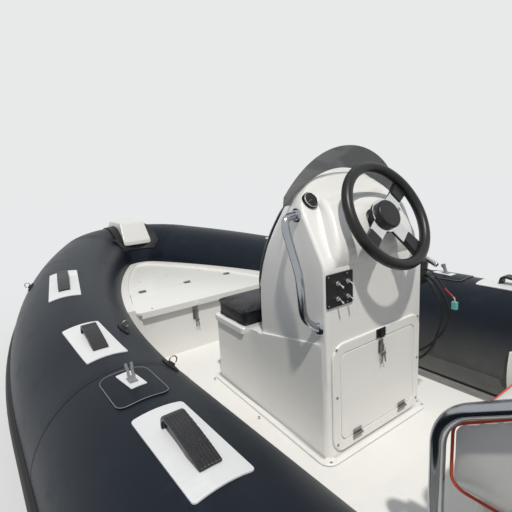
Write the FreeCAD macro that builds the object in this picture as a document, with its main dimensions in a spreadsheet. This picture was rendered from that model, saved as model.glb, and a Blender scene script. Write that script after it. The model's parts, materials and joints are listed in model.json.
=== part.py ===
import FreeCAD
import Part
import Sketcher

import math
import os

from FreeCAD import Placement, Rotation, Vector

# A rigid inflatable boat: a V hull with a moulded deck, three air chambers round it,
# a steering console with a seat on its front, a bow locker and a helm seat.
# X runs forward, Y to port and Z up; the origin is on the centreline, at the
# waterline, on the transom's aft face. Lengths are in millimetres.

SIZES = [
    # alias, value, what it sets
    ("deck_height", 150, "cockpit floor above the waterline"),
    ("deck_thick", 12, "cockpit floor moulding"),
    ("seat_gap", 0.3, "clearance between pieces that are seated on each other"),
    ("tube_radius", 252, "air chamber"),
    ("tube_offset", 743, "chamber's middle from the centreline"),
    ("tube_rise", 117, "chamber's middle above the floor, aft"),
    ("tail_start", 80, "cone's start behind the transom"),
    ("tail_length", 260, "cone at each chamber's aft end"),
    ("tail_end_radius", 96, "small end of that cone"),
    ("level_end", 1820, "where the chambers start to rise"),
    ("sheer_radius", 2000, "bend into the rise, seen from the side"),
    ("sheer_angle", 4.8, "slope of the chambers forward, degrees"),
    ("shoulder_radius", 3600, "long bend of the side chambers, from above"),
    ("shoulder_angle", 28, "turn of that bend, degrees"),
    ("strake_height", 56, "rubbing strake"),
    ("strake_thick", 17, "rubbing strake"),
    ("transom_thick", 60, "transom board"),
    ("engine_notch_top", 250, "top of the board where the engine clamps"),
    ("engine_notch_half", 260, "half width of that notch"),
    ("transom_top", 385, "top of the board at the chambers"),
    ("bolt_radius", 6.5, "engine bolt holes"),
    ("upper_bolts", 327, "distance between the two upper engine bolts"),
    ("lower_bolts", 251, "distance between the two lower engine bolts"),
    ("upper_bolt_drop", 50, "upper bolts below the notch"),
    ("bolt_row_gap", 203, "upper row to lower row"),
    ("console_x", 1450, "console's aft face ahead of the transom"),
    ("console_y", 10, "console's middle to port of the centreline"),
    ("console_half", 238, "half width of the console's foot, aft"),
    ("console_taper", 0.06, "narrowing of each side of the base per unit of length"),
    ("console_length", 701, "console with its front seat, at the foot"),
    ("console_wall", 6, "console moulding"),
    ("console_corner", 22, "upright corners"),
    ("upper_inset", 3, "upper part stands in from the base by this, aft"),
    ("upper_taper", 0.078, "narrowing of each side of the upper part per unit of length"),
    ("dash_foot", 604, "where the dash starts to lean forward"),
    ("dash_lean", 31, "lean of the dash from upright, degrees"),
    ("arch_top", 876, "top of the upper part above the floor"),
    ("arch_hip", 738, "where the upper part's sides start to round in"),
    ("arch_round", 90, "radius of that rounding"),
    ("edge_round", 11, "soft edge between the aft face and the sides"),
    ("pod_foot_half", 212, "half width of the foot of the bulge that carries the steering"),
    ("pod_top_half", 144, "half width of that bulge's top"),
    ("upper_front", 345, "front face of the upper part"),
    ("base_top_aft", 381, "shoulder of the base, aft"),
    ("base_top_front", 312, "shoulder of the base, at the seat"),
    ("seat_start", 452, "where the seat's rim begins"),
    ("seat_rim", 270, "seat rim above the floor"),
    ("foot_width", 25, "console's foot flange"),
    ("foot_thick", 8, "console's foot flange"),
    ("door_width", 368, "console door"),
    ("door_height", 283, "console door"),
    ("door_bottom", 53, "door's lower edge above the floor"),
    ("door_thick", 7, "console door"),
    ("door_corner", 25, "door's corners"),
    ("door_gap", 2, "slit round the door"),
    ("frame_width", 35, "raised frame round the door"),
    ("frame_thick", 7.5, "raised frame round the door"),
    ("knuckle", 5, "hinge knuckle radius"),
    ("leaf", 17, "hinge leaf"),
    ("leaf_thick", 2, "hinge leaf"),
    ("hinge_length", 38, "hinge"),
    ("wheel_diameter", 350, "steering wheel over its rim"),
    ("rim_thick", 33, "padded rim"),
    ("wheel_x", -24, "wheel's centre ahead of the console's aft face"),
    ("wheel_z", 731, "wheel's centre above the floor"),
    ("wheel_tilt", 27.4, "lean of the wheel from upright, degrees"),
    ("wheel_turn", 34, "how far the wheel stands turned, degrees"),
    ("hub_radius", 45, "wheel's cap"),
    ("shaft_radius", 10, "steering shaft"),
    ("column_radius", 38, "steering column's bellows at the wheel"),
    ("panel_width", 107, "switch panel"),
    ("panel_height", 98, "switch panel"),
    ("panel_thick", 4, "switch panel"),
    ("rail_radius", 11, "console grab rails"),
    ("screen_thick", 4, "windscreen"),
    ("screen_rake", 27, "windscreen's lean, degrees"),
    ("lid_thick", 24, "front seat's lid"),
    ("cushion_thick", 74, "front seat's cushion"),
    ("pad_thick", 55, "backrest on the console"),
    ("locker_x", 1048, "bow locker's aft face ahead of the console's aft face"),
    ("locker_height", 262, "bow locker's top above the floor"),
    ("locker_wall", 8, "bow locker moulding"),
    ("locker_end", 3480, "forward end of the locker's hold"),
    ("locker_lid_thick", 12, "bow locker lid"),
    ("locker_lid_x", 1028, "aft edge of the locker lid"),
    ("locker_lid_depth", 357, "locker lid, fore and aft"),
    ("locker_lid_aft_half", 446, "half width of the lid's aft edge"),
    ("locker_lid_fore_half", 346, "half width of the lid's hinge edge"),
    ("rim_width", 36, "raised rim round the locker"),
    ("rim_height", 14, "raised rim round the locker"),
    ("step_half", 98, "half width of the bow step"),
    ("step_pad", 8, "rubber under the bow step"),
    ("engine_pad", 4, "wear pad on the transom's aft face"),
    ("trim_width", 48, "deck edge trim"),
    ("trim_thick", 5, "deck edge trim"),
    ("trim_y", 430, "deck edge trim's inner edge from the centreline"),
    ("aft_floor", 40, "aft floor moulding above the cockpit floor"),
    ("aft_floor_front", 1262, "forward edge of the aft floor moulding"),
    ("helm_x", 500, "helm seat's aft face"),
    ("helm_length", 510, "helm seat, fore and aft"),
    ("helm_half", 306, "helm seat's half width"),
    ("helm_height", 300, "helm seat box above the aft floor"),
    ("helm_wall", 8, "helm seat box moulding"),
    ("helm_cushion", 85, "helm seat's cushion"),
    ("hoop_radius", 15, "stainless hoop of the helm seat"),
    ("hoop_half", 355, "hoop's sides from the centreline"),
    ("hoop_front", 1050, "hoop's front legs"),
    ("hoop_slope", 29, "rise of the hoop's sides, degrees"),
    ("hoop_corner", 404, "where that rise meets the front legs, above the floor"),
    ("hoop_back", 640, "hoop's back above the floor"),
    ("patch_thick", 3, "reinforcing patches on the chambers"),
    ("handle_width", 48, "carrying handles"),
    ("cable_radius", 5, "control cables"),
    ("wire_radius", 2.5, "engine wiring tail"),
]

doc = FreeCAD.newDocument("inflatable_boat")
sheet = doc.addObject("Spreadsheet::Sheet", "Sizes")
for row, (alias, amount, note) in enumerate(SIZES, start=1):
    sheet.set("A%d" % row, alias)
    sheet.set("B%d" % row, str(amount))
    sheet.set("C%d" % row, note)
    sheet.setAlias("B%d" % row, alias)
doc.recompute()
size = {alias: float(sheet.get(alias)) for alias, amount, note in SIZES}

AHEAD = Vector(1, 0, 0)
PORT = Vector(0, 1, 0)
UP = Vector(0, 0, 1)
CENTRE = Vector(0, 0, 0)
GAP = size["seat_gap"]
R = size["tube_radius"]
DECK = size["deck_height"]
CONSOLE = Vector(size["console_x"], size["console_y"], DECK)
nodes = []


# General helpers

def add_node(label, shape, place=None):
    """A sub-part whose shape Part's own functions made; its Placement follows its Shape."""
    feature = doc.addObject("Part::Feature", label)
    feature.Label = label
    feature.Shape = shape
    if place is not None:
        feature.Placement = place
    nodes.append(feature)
    return feature


def joined(shapes):
    """One shape from shapes that meet."""
    first = shapes[0]
    if len(shapes) == 1:
        return first
    return first.fuse(shapes[1:]).removeSplitter()


def box(low, high):
    """A block between two corners."""
    low, high = Vector(*low), Vector(*high)
    return Part.makeBox(high.x - low.x, high.y - low.y, high.z - low.z, low)


def mirrored(shape):
    """The same shape on the other side of the centreline."""
    return shape.mirror(CENTRE, PORT)


def both_sides(shape):
    return [shape, mirrored(shape)]


def face_of(points):
    """A flat face from corner points; a tuple of two points is an arc through the first to the second."""
    edges = []
    here = points[0]
    for item in points[1:] + [points[0]]:
        if isinstance(item, tuple):
            edges.append(Part.Arc(here, item[0], item[1]).toShape())
            here = item[1]
        elif (item - here).Length > 1e-6:
            edges.append(Part.LineSegment(here, item).toShape())
            here = item
    return Part.Face(Part.Wire(edges))


def side_prism(outline, half_width):
    """An outline of (x, z) points, with arcs as pairs, carried across the boat."""
    def place(item):
        if isinstance(item[0], tuple):
            return tuple(Vector(x, -half_width, z) for x, z in item)
        return Vector(item[0], -half_width, item[1])
    return face_of([place(item) for item in outline]).extrude(PORT * 2 * half_width)


def plan_prism(outline, low, high):
    """An outline of (x, y) points carried upwards from low to high."""
    return face_of([Vector(x, y, low) for x, y in outline]).extrude(UP * (high - low))


def round_upright_corners(solid, radius):
    """Fillets on the upright edges of a prism."""
    upright = [e for e in solid.Edges if abs(e.tangentAt(e.FirstParameter).z) > 0.999]
    return solid.makeFillet(radius, upright)


def bent_path(points, radius):
    """Straight runs joined by tangent arcs of one radius, less where a run is short."""
    edges = []
    here = points[0]
    for before, corner, after in zip(points, points[1:], points[2:]):
        into = corner.sub(before)
        out = after.sub(corner)
        half_turn = into.getAngle(out) / 2
        shorter = min(into.Length, out.Length)
        bend = min(radius, 0.45 * shorter / math.tan(half_turn))
        cut = bend * math.tan(half_turn)
        into.normalize()
        out.normalize()
        start = corner.sub(into * cut)
        end = corner.add(out * cut)
        inward = out.sub(into)
        inward.normalize()
        middle = corner.add(inward * (bend / math.cos(half_turn) - bend))
        edges.append(Part.LineSegment(here, start).toShape())
        edges.append(Part.Arc(start, middle, end).toShape())
        here = end
    edges.append(Part.LineSegment(here, points[-1]).toShape())
    return Part.Wire(edges)


def bar(points, bar_radius, bend):
    """A round bar or tube along a bent path."""
    path = bent_path(points, bend)
    start = points[1].sub(points[0])
    disc = Part.Wire(Part.makeCircle(bar_radius, points[0], start))
    return path.makePipeShell([disc], True, True)


def rod(start, end, radius):
    return Part.makeCylinder(radius, end.sub(start).Length, start, end.sub(start))


def rounded_pad(label, width, height, radius, thick, place):
    """A rounded plate in its own XY plane, centred, padded upwards. Sizes are sheet expressions."""
    body = doc.addObject("PartDesign::Body", label)
    body.Label = label
    sketch = body.newObject("Sketcher::SketchObject", label + "_outline")
    level = [f for f in body.Origin.OriginFeatures if f.Role == "XY_Plane"][0]
    sketch.AttachmentSupport = [(level, "")]
    sketch.MapMode = "FlatFace"
    half_w, half_h, corner = 100.0, 90.0, 10.0
    spots = [
        # x, y, start angle of each corner's arc
        (half_w - corner, half_h - corner, 0),
        (corner - half_w, half_h - corner, 90),
        (corner - half_w, corner - half_h, 180),
        (half_w - corner, corner - half_h, 270),
    ]
    arcs = []
    for x, y, start in spots:
        circle = Part.Circle(Vector(x, y, 0), UP, corner)
        arc = Part.ArcOfCircle(circle, math.radians(start), math.radians(start + 90))
        arcs.append(sketch.addGeometry(arc, False))
    sides = []
    for number in range(4):
        here = sketch.Geometry[arcs[number]].EndPoint
        there = sketch.Geometry[arcs[(number + 1) % 4]].StartPoint
        sides.append(sketch.addGeometry(Part.LineSegment(here, there), False))
    rule = Sketcher.Constraint
    for number in range(4):
        following = arcs[(number + 1) % 4]
        sketch.addConstraint(rule("Tangent", arcs[number], 2, sides[number], 1))
        sketch.addConstraint(rule("Tangent", sides[number], 2, following, 1))
    sketch.addConstraint(rule("Horizontal", sides[0]))
    sketch.addConstraint(rule("Vertical", sides[1]))
    sketch.addConstraint(rule("Horizontal", sides[2]))
    sketch.addConstraint(rule("Vertical", sides[3]))
    for other in arcs[1:]:
        sketch.addConstraint(rule("Equal", arcs[0], other))
    sketch.addConstraint(rule("Symmetric", arcs[0], 3, arcs[2], 3, -1, 1))
    bound = [
        # constraint, its expression
        (rule("Radius", arcs[0], corner), radius),
        (rule("DistanceX", sides[0], 2, sides[0], 1, 2 * (half_w - corner)),
         "%s - 2 * (%s)" % (width, radius)),
        (rule("DistanceY", sides[1], 2, sides[1], 1, 2 * (half_h - corner)),
         "%s - 2 * (%s)" % (height, radius)),
    ]
    for measured, expression in bound:
        index = sketch.addConstraint(measured)
        sketch.setExpression("Constraints[%d]" % index, expression)
    pad = body.newObject("PartDesign::Pad", label + "_pad")
    pad.Profile = sketch
    pad.setExpression("Length", thick)
    body.Placement = place
    nodes.append(body)
    return body


# The air chambers

def chamber_runs():
    """The port chamber's centreline as runs: kind, start, outward and upward directions, and how it moves."""
    slope = math.radians(size["sheer_angle"])
    turn = math.radians(size["shoulder_angle"])
    rising = Vector(math.cos(slope), 0, math.sin(slope))
    lifted = Vector(-math.sin(slope), 0, math.cos(slope))
    middle = DECK + size["tube_rise"]
    tail = Vector(-size["tail_start"], size["tube_offset"], middle)
    level_end = Vector(size["level_end"], size["tube_offset"], middle)
    sheer_centre = level_end.add(UP * size["sheer_radius"])
    sheer_end = sheer_centre.sub(lifted * size["sheer_radius"])
    shoulder_centre = sheer_end.sub(PORT * size["shoulder_radius"])
    heading = rising * math.cos(turn) - PORT * math.sin(turn)
    outward = PORT * math.cos(turn) + rising * math.sin(turn)
    shoulder_end = shoulder_centre.add(outward * size["shoulder_radius"])
    bow_radius = shoulder_end.y / outward.y
    bow_centre = shoulder_end.sub(outward * bow_radius)
    return {
        # run: (start, outward, upward, straight move or None, centre, axis, angle)
        "level": (tail, PORT, UP, level_end.sub(tail), None, None, 0),
        "sheer": (level_end, PORT, UP, None, sheer_centre, PORT * -1, size["sheer_angle"]),
        "shoulder": (sheer_end, PORT, lifted, None, shoulder_centre, lifted * -1,
                     size["shoulder_angle"]),
        "bow": (shoulder_end, outward, lifted, None, bow_centre, lifted * -1,
                90 - size["shoulder_angle"]),
        "heading": heading,
        "bow_middle": bow_centre.add(rising * bow_radius),
        "lifted": lifted,
        "rising": rising,
    }


RUNS = chamber_runs()
BOW = RUNS["bow_middle"]
SIDE_RUNS = ["level", "sheer", "shoulder"]


def along_chamber(section, names):
    """A section carried along the named runs; section makes a face from start, outward, upward."""
    solids = []
    for name in names:
        start, outward, upward, move, centre, axis, angle = RUNS[name]
        face = section(start, outward, upward)
        if move is not None:
            solids.append(face.extrude(move))
        else:
            solids.append(face.revolve(centre, axis, angle))
    return solids


def disc(radius):
    def section(start, outward, upward):
        return Part.Face(Part.Wire(Part.makeCircle(radius, start, outward.cross(upward))))
    return section


def strake_section(start, outward, upward):
    """A flat-backed D that follows the chamber's round at its back."""
    inner = R + GAP
    half = size["strake_height"] / 2
    thick = size["strake_thick"]
    back = math.sqrt(inner ** 2 - half ** 2)

    def spot(out, high):
        return start.add(outward * out).add(upward * high)
    return face_of([
        spot(back, -half),
        (spot(inner, 0), spot(back, half)),
        spot(inner + thick * 0.55, half * 0.82),
        (spot(inner + thick, 0), spot(inner + thick * 0.55, -half * 0.82)),
    ])


def side_chamber():
    tail = RUNS["level"][0]
    cone = Part.makeCone(R, size["tail_end_radius"], size["tail_length"], tail, AHEAD * -1)
    cap_centre = tail.sub(AHEAD * size["tail_length"])
    cap = Part.makeCylinder(size["tail_end_radius"] + 6, 22, cap_centre.add(AHEAD * 14), AHEAD * -1)
    return joined(along_chamber(disc(R), SIDE_RUNS) + [cone, cap])


def bow_chamber():
    return joined(both_sides(along_chamber(disc(R), ["bow"])[0]))


def swollen_chambers(growth):
    """All runs with a larger radius, to cut seats and to make what lies on them."""
    port = along_chamber(disc(R + growth), SIDE_RUNS + ["bow"])
    return port + [mirrored(solid) for solid in port]


CLEAR_OF_CHAMBERS = swollen_chambers(GAP)


def chamber_frame(x):
    """The port chamber's own frame abreast of x: X along it, Y outboard, Z up."""
    outward, upward = PORT, UP
    bend_start, shoulder_start = RUNS["sheer"][0], RUNS["shoulder"][0]
    if x <= bend_start.x:
        middle = Vector(x, bend_start.y, bend_start.z)
    elif x <= shoulder_start.x:
        angle = math.asin((x - bend_start.x) / size["sheer_radius"])
        middle = Vector(x, bend_start.y, bend_start.z + size["sheer_radius"] * (1 - math.cos(angle)))
        upward = Vector(-math.sin(angle), 0, math.cos(angle))
    else:
        upward = RUNS["lifted"]
        reach = (x - shoulder_start.x) / RUNS["rising"].x
        angle = math.asin(reach / size["shoulder_radius"])
        inward = size["shoulder_radius"] * (1 - math.cos(angle))
        middle = shoulder_start.add(RUNS["rising"] * reach).sub(PORT * inward)
        outward = PORT * math.cos(angle) + RUNS["rising"] * math.sin(angle)
    return Placement(middle, Rotation(outward.cross(upward), outward, upward, "ZYX"))


def chamber_skin(thick, off=0.0):
    """The layer of a given thickness that lies on the port chamber."""
    outer = joined(along_chamber(disc(R + GAP + off + thick), SIDE_RUNS))
    return outer.cut(joined(along_chamber(disc(R + GAP + off), SIDE_RUNS)))


def make_chambers():
    port = side_chamber()
    add_node("port_chamber", port)
    add_node("starboard_chamber", mirrored(port))
    add_node("bow_chamber", bow_chamber())


def make_strake():
    runs = along_chamber(strake_section, SIDE_RUNS + ["bow"])
    add_node("rubbing_strake", joined(runs + [mirrored(solid) for solid in runs]))


# Hull, deck and transom

HULL_STATIONS = [
    # x, keel z, chine half breadth, chine z, chine flat
    (60, -260, 600, -68, 40),
    (1500, -260, 600, -66, 40),
    (2300, -252, 575, -40, 38),
    (2900, -215, 470, 20, 32),
    (3300, -150, 335, 80, 26),
    (3600, -55, 205, 125, 20),
    (3800, 50, 100, 152, 14),
    (3930, 140, 26, 176, 8),
]
HULL_TOP = 385
SPRAY_RAIL = 22


def hull_section(x, keel, half, chine, flat):
    """A V with a spray rail on each side and a flat at the chine."""
    rail_y = half * 0.5
    rail_z = keel + (chine - keel) * 0.5
    step = SPRAY_RAIL * half / HULL_STATIONS[0][2]
    starboard = [
        (-rail_y, rail_z), (-rail_y - step, rail_z), (-half, chine),
        (-half - flat, chine), (-half - flat, HULL_TOP),
    ]
    port = [(-y, z) for y, z in reversed(starboard)]
    corners = [Vector(x, y, z) for y, z in [(0, keel)] + starboard + port]
    return Part.makePolygon(corners + [corners[0]])


def hull_block():
    return Part.makeLoft([hull_section(*station) for station in HULL_STATIONS], True, True)


HULL_BLOCK = hull_block()


def make_hull():
    below_deck = DECK - size["deck_thick"]
    cockpit = box((0, -700, below_deck), (size["locker_end"] + 10, 700, HULL_TOP + 10))
    top = DECK + size["locker_height"] - 20
    over_block = box((size["locker_end"], -700, top), (4200, 700, HULL_TOP + 60))
    add_node("hull", HULL_BLOCK.cut([cockpit, over_block] + CLEAR_OF_CHAMBERS))


def make_deck():
    start = size["transom_thick"]
    slab = box((start, -700, DECK - size["deck_thick"]), (size["locker_end"] + 10, 700, DECK))
    add_node("deck", slab.common(HULL_BLOCK).cut(CLEAR_OF_CHAMBERS))


def make_transom():
    x, keel, half, chine, flat = HULL_STATIONS[0]
    top, notch = size["transom_top"], size["engine_notch_top"]
    notch_half = size["engine_notch_half"]
    port = [(half, chine), (half + flat, chine), (half + flat, top), (notch_half + 70, top),
            (notch_half, notch)]
    outline = [(0, keel)] + port + [(-y, z) for y, z in reversed(port)]
    board = face_of([Vector(0, y, z) for y, z in outline]).extrude(AHEAD * size["transom_thick"])
    holes = []
    upper = notch - size["upper_bolt_drop"]
    for z, spread in ((upper, size["upper_bolts"]), (upper - size["bolt_row_gap"], size["lower_bolts"])):
        for side in (-1, 1):
            start = Vector(-9, side * spread / 2, z)
            holes.append(Part.makeCylinder(size["bolt_radius"], size["transom_thick"] + 11, start, AHEAD))
    pad = box((-size["engine_pad"], -210, upper - size["bolt_row_gap"] - 60), (1, 210, notch - 4))
    along = [e for e in pad.Edges if abs(e.tangentAt(e.FirstParameter).x) > 0.999]
    add_node("transom", joined([board, pad.makeFillet(20, along)]).cut(CLEAR_OF_CHAMBERS + holes))


def make_aft_floor():
    """A raised floor aft, with flanges that follow the chambers' inner sides."""
    start, end = size["transom_thick"] + GAP, size["aft_floor_front"]
    slab = box((start, -700, DECK + GAP), (end, 700, DECK + size["aft_floor"]))
    slab = slab.common(box((0, -700, 0), (end, 700, 400)).cut(CLEAR_OF_CHAMBERS))
    middle = slab.common(box((start, -560, 0), (end, 560, 400)))
    region = box((start, 0, DECK + size["aft_floor"] - 8), (end, size["tube_offset"] - 170, DECK + 190))
    flange = along_chamber(disc(R + GAP + 9), ["level"])[0].common(region)
    flange = flange.cut(along_chamber(disc(R + GAP), ["level"])[0])
    add_node("aft_floor", joined([middle, flange, mirrored(flange)]))


def make_trims():
    """Ribbed strips along the deck's edges, from the aft floor to the locker."""
    start = size["aft_floor_front"] + 30
    end = size["console_x"] + size["locker_x"] - 12
    width, thick = size["trim_width"], size["trim_thick"]
    low = DECK + GAP
    outline = [Vector(start, size["trim_y"], low)]
    ribs = 4
    pitch = width / ribs
    for rib in range(ribs):
        left = size["trim_y"] + rib * pitch
        outline.append(Vector(start, left + pitch * 0.1, low + thick * 0.6))
        outline.append((Vector(start, left + pitch * 0.5, low + thick),
                        Vector(start, left + pitch * 0.9, low + thick * 0.6)))
    outline.append(Vector(start, size["trim_y"] + width, low))
    strip = face_of(outline).extrude(AHEAD * (end - start))
    add_node("deck_trims", Part.makeCompound(both_sides(strip)))


# Console

def console_half_at(x, inset):
    return size["console_half"] - size["console_taper"] * x - inset


def console_plan(inset, start, end):
    """A tapered plan outline that keeps clear of the outer one by inset."""
    aft, fore = console_half_at(start, inset), console_half_at(end, inset)
    return [(start, -aft), (end, -fore), (end, fore), (start, aft)]


def console_base(inset):
    start, end = inset, size["console_length"] - inset
    low = 0 if inset <= 0 else -1
    plan = plan_prism(console_plan(inset, start, end), low, 400)
    plan = round_upright_corners(plan, max(size["console_corner"] - inset, 2))
    seat = size["seat_start"]
    side = [
        (-50, low), (size["console_length"] + 60, low), (size["console_length"] + 60, size["seat_rim"] - inset), (seat - inset, size["seat_rim"] - inset),
        (seat - inset, size["base_top_front"] - 8 - inset), (size["upper_front"], size["base_top_front"] - inset),
        (-50, size["base_top_aft"] + 7 - inset),
    ]
    return plan.common(side_prism(side, 400))


COWL = [
    # x, drop of the arch there: the top of the upper part falls towards the seat
    (0, 0), (158, 0), (207, 34), (251, 85), (297, 148), (321, 196), (345, 267),
]


def upper_half_at(x):
    return size["console_half"] - size["upper_inset"] - size["upper_taper"] * x


def cowl_arch(x, drop, inset):
    """The upper part's outline seen from astern, at one station: upright sides, rounded hips and a low arch."""
    half, bend = upper_half_at(x), size["arch_round"]
    hip, top = size["arch_hip"] - drop, size["arch_top"] - drop
    low = 250 if inset <= 0 else 240
    in_y = half - bend
    # the arch's own circle touches the hip's circle and the top
    middle = ((top - bend) ** 2 - hip ** 2 - in_y ** 2) / (2 * (top - bend - hip))
    arch = top - middle - inset
    bend -= inset
    angle = math.atan2(hip - middle, in_y)
    half_angle = angle / 2

    def spot(y, z):
        return Vector(x, y, z)
    brow = (in_y + bend * math.cos(angle), hip + bend * math.sin(angle))
    shoulder = (in_y + bend * math.cos(half_angle), hip + bend * math.sin(half_angle))
    return face_of([
        spot(inset - half, low), spot(inset - half, hip), (spot(-shoulder[0], shoulder[1]), spot(-brow[0], brow[1])),
        (spot(0, middle + arch), spot(*brow)), (spot(*shoulder), spot(half - inset, hip)), spot(half - inset, low),
    ]).OuterWire


def cowl(inset, ahead=0.0):
    """The falling arch, in straight stretches; a positive ahead moves its falling part forward."""
    spans = []
    stations = [(x + inset if x == 0 else x - inset + ahead, drop) for x, drop in COWL]
    for (x0, drop0), (x1, drop1) in zip(stations, stations[1:]):
        wires = [cowl_arch(x0, drop0, inset), cowl_arch(x1, drop1, inset)]
        spans.append(Part.makeLoft(wires, True, True))
    return joined(spans)


def dash_profile(inset):
    """The upper part's side view, from its aft face up the leaning dash."""
    lean = math.radians(size["dash_lean"])
    bend = 60.0
    cut = bend * math.tan(lean / 2)
    foot = size["dash_foot"]
    shift = inset / math.cos(lean)
    top = 905
    return [
        (inset, 240), (size["upper_front"] + 5, 240), (size["upper_front"] + 5, top),
        ((top - foot) * math.tan(lean) + shift, top), (cut * math.sin(lean) + shift, foot + cut * math.cos(lean)),
        ((bend * (1 - math.cos(lean / 2)) + inset, foot - cut + bend * math.sin(lean / 2)), (inset, foot - cut)),
    ]


def console_upper(inset):
    block = cowl(inset).common(side_prism(dash_profile(inset), 400))
    if inset > 0:
        return block
    lean = math.tan(math.radians(size["dash_lean"]))
    edges = []
    for edge in block.Edges:
        bound = edge.BoundBox
        middle = edge.valueAt((edge.FirstParameter + edge.LastParameter) / 2)
        face_x = max(inset, (middle.z - size["dash_foot"]) * lean + inset)
        if bound.ZLength > 1 and bound.ZMin > 249 and middle.x < face_x + 8 and middle.z < 860:
            edges.append(edge)
    return block.makeFillet(size["edge_round"], edges)


def console_solid(inset):
    return joined([console_base(inset), console_upper(inset)])


def door_outline(margin, start, depth):
    """A rounded block the size of the door and a margin, from start forwards."""
    half = size["door_width"] / 2 + margin
    low = size["door_bottom"] - margin
    high = size["door_bottom"] + size["door_height"] + margin
    block = box((start, -half, low), (start + depth, half, high))
    along = [e for e in block.Edges if abs(e.tangentAt(e.FirstParameter).x) > 0.999]
    return block.makeFillet(size["door_corner"] + margin * 0.7, along)


CONSOLE_SOLID = console_solid(0)
CONSOLE_HOLLOW = console_solid(size["console_wall"])


def make_console():
    foot_plan = console_plan(-size["foot_width"], -size["foot_width"],
                             size["console_length"] + size["foot_width"])
    foot = round_upright_corners(plan_prism(foot_plan, GAP, GAP + size["foot_thick"]), 40)
    foot = foot.makeFillet(4, [e for e in foot.Edges if e.BoundBox.ZMin > size["foot_thick"]])
    shell = joined([CONSOLE_SOLID, foot]).cut([CONSOLE_HOLLOW])
    shell = joined([shell, helm_pod().cut(CONSOLE_HOLLOW)])
    doorway = door_outline(-12, -20, 60)
    hatch = box((size["seat_start"] + 30, -165, size["seat_rim"] - 30),
                (size["console_length"] - 51, 165, size["seat_rim"] + 30))
    below = box((-60, -400, -50), (size["console_length"] + 100, 400, GAP))
    add_node("console", shell.cut([doorway, hatch, below]), Placement(CONSOLE, Rotation()))


def helm_pod():
    """The soft-edged bulge on the dash that carries the steering column."""
    wide, foot = size["console_half"], size["dash_foot"]
    low, high = size["pod_foot_half"], size["pod_top_half"]
    outer = [(9, -22), (-5, 14), (-7, 44), (8, 88), (38, 138), (76, 176), (120, 196), (165, 201)]
    bulge = Part.BSplineCurve()
    bulge.interpolate([Vector(x, -wide, foot + z) for x, z in outer])
    start, end = bulge.StartPoint, bulge.EndPoint
    inner = [Part.LineSegment(end, Vector(165, -wide, foot - 22)), Part.LineSegment(Vector(165, -wide, foot - 22), start)]
    face = Part.Face(Part.Wire([bulge.toShape()] + [line.toShape() for line in inner]))
    sides = face_of([Vector(-60, -low, foot - 22), Vector(-60, low, foot - 22), Vector(-60, high, foot + 205),
                     Vector(-60, -high, foot + 205)]).extrude(AHEAD * 300)
    pod = face.extrude(PORT * 2 * wide).common(sides)
    rims = [e for e in pod.Edges if 20 < e.BoundBox.YLength < 100 and e.BoundBox.XMin < 0 and e.BoundBox.ZLength > 150]
    return pod.makeFillet(20, rims)


def make_door():
    centre_z = size["door_bottom"] + size["door_height"] / 2
    place = Placement(CONSOLE.add(Vector(-GAP, 0, centre_z)), FACING_AFT)
    rounded_pad("console_door", "Sizes.door_width", "Sizes.door_height", "Sizes.door_corner",
                "Sizes.door_thick", place)
    frame_block = door_outline(size["frame_width"], -GAP - size["frame_thick"], size["frame_thick"])
    aft = -GAP - size["frame_thick"] + 0.01
    frame_block = frame_block.makeFillet(5, [e for e in frame_block.Edges if e.BoundBox.XMax < aft])
    opening = door_outline(size["door_gap"], -60, 120)
    add_node("door_frame", frame_block.cut(opening), Placement(CONSOLE, Rotation()))


def hinge(length):
    """A fixed leaf with the pin and a moving leaf, round the Y axis; leaves lie flat under the pin."""
    knuckle, leaf, thick = size["knuckle"], size["leaf"], size["leaf_thick"]
    middle = length / 6
    slack = 0.3
    pin = 0.45 * knuckle
    base = -knuckle

    def barrel(low, high):
        return Part.makeCylinder(knuckle, high - low, Vector(0, low, 0), PORT)
    fixed_plate = box((knuckle + slack, -length / 2, base), (leaf, length / 2, base + thick))
    fixed_tab = box((0, -middle + slack, base), (knuckle + slack, middle - slack, base + thick))
    fixed_pin = Part.makeCylinder(pin, length, Vector(0, -length / 2, 0), PORT)
    fixed = joined([fixed_plate, fixed_tab, barrel(-middle + slack, middle - slack), fixed_pin])
    plate = box((-leaf, -length / 2, base), (-knuckle - slack, length / 2, base + thick))
    pieces = [plate]
    for low, high in ((-length / 2, -middle), (middle, length / 2)):
        pieces.append(box((-knuckle - slack, low, base), (0, high, base + thick)))
        pieces.append(barrel(low, high))
    bore = Part.makeCylinder(pin + 0.08, length + 2, Vector(0, -length / 2 - 1, 0), PORT)
    return fixed, joined(pieces).cut(bore)


def placed(shape, place):
    copy = shape.copy()
    copy.Placement = place.multiply(copy.Placement)
    return copy


def make_hinges(name, places, length):
    """A pair of like hinges: their fixed leaves are one node and their moving leaves another."""
    fixed, moving = hinge(length)
    add_node(name + "_fixed_leaves", Part.makeCompound([placed(fixed, p) for p in places]))
    add_node(name + "_moving_leaves", Part.makeCompound([placed(moving, p) for p in places]))


def make_door_hinges():
    """Leaf hinges on the door's lower edge, outside the frame."""
    depth = GAP + size["frame_thick"] + GAP + size["knuckle"]
    turn = Rotation(Vector(0, 0, -1), Vector(0, -1, 0), Vector(-1, 0, 0), "ZXY")
    places = []
    for y in (-115, 115):
        spot = CONSOLE.add(Vector(-depth, y, size["door_bottom"] - size["door_gap"] / 2))
        places.append(Placement(spot, turn))
    make_hinges("door_hinge", places, size["hinge_length"])


def latch(width, length):
    """A toggle latch on its XY plane: base plate, lever and loop in one solid."""
    plate = box((-width / 2, -length / 2, 0), (width / 2, length / 2, 2))
    lever = box((-width * 0.32, -length * 0.38, 2), (width * 0.32, length * 0.2, 9))
    loop = box((-width * 0.2, length * 0.1, 2), (width * 0.2, length / 2, 6))
    return joined([plate, lever, loop])


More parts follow.
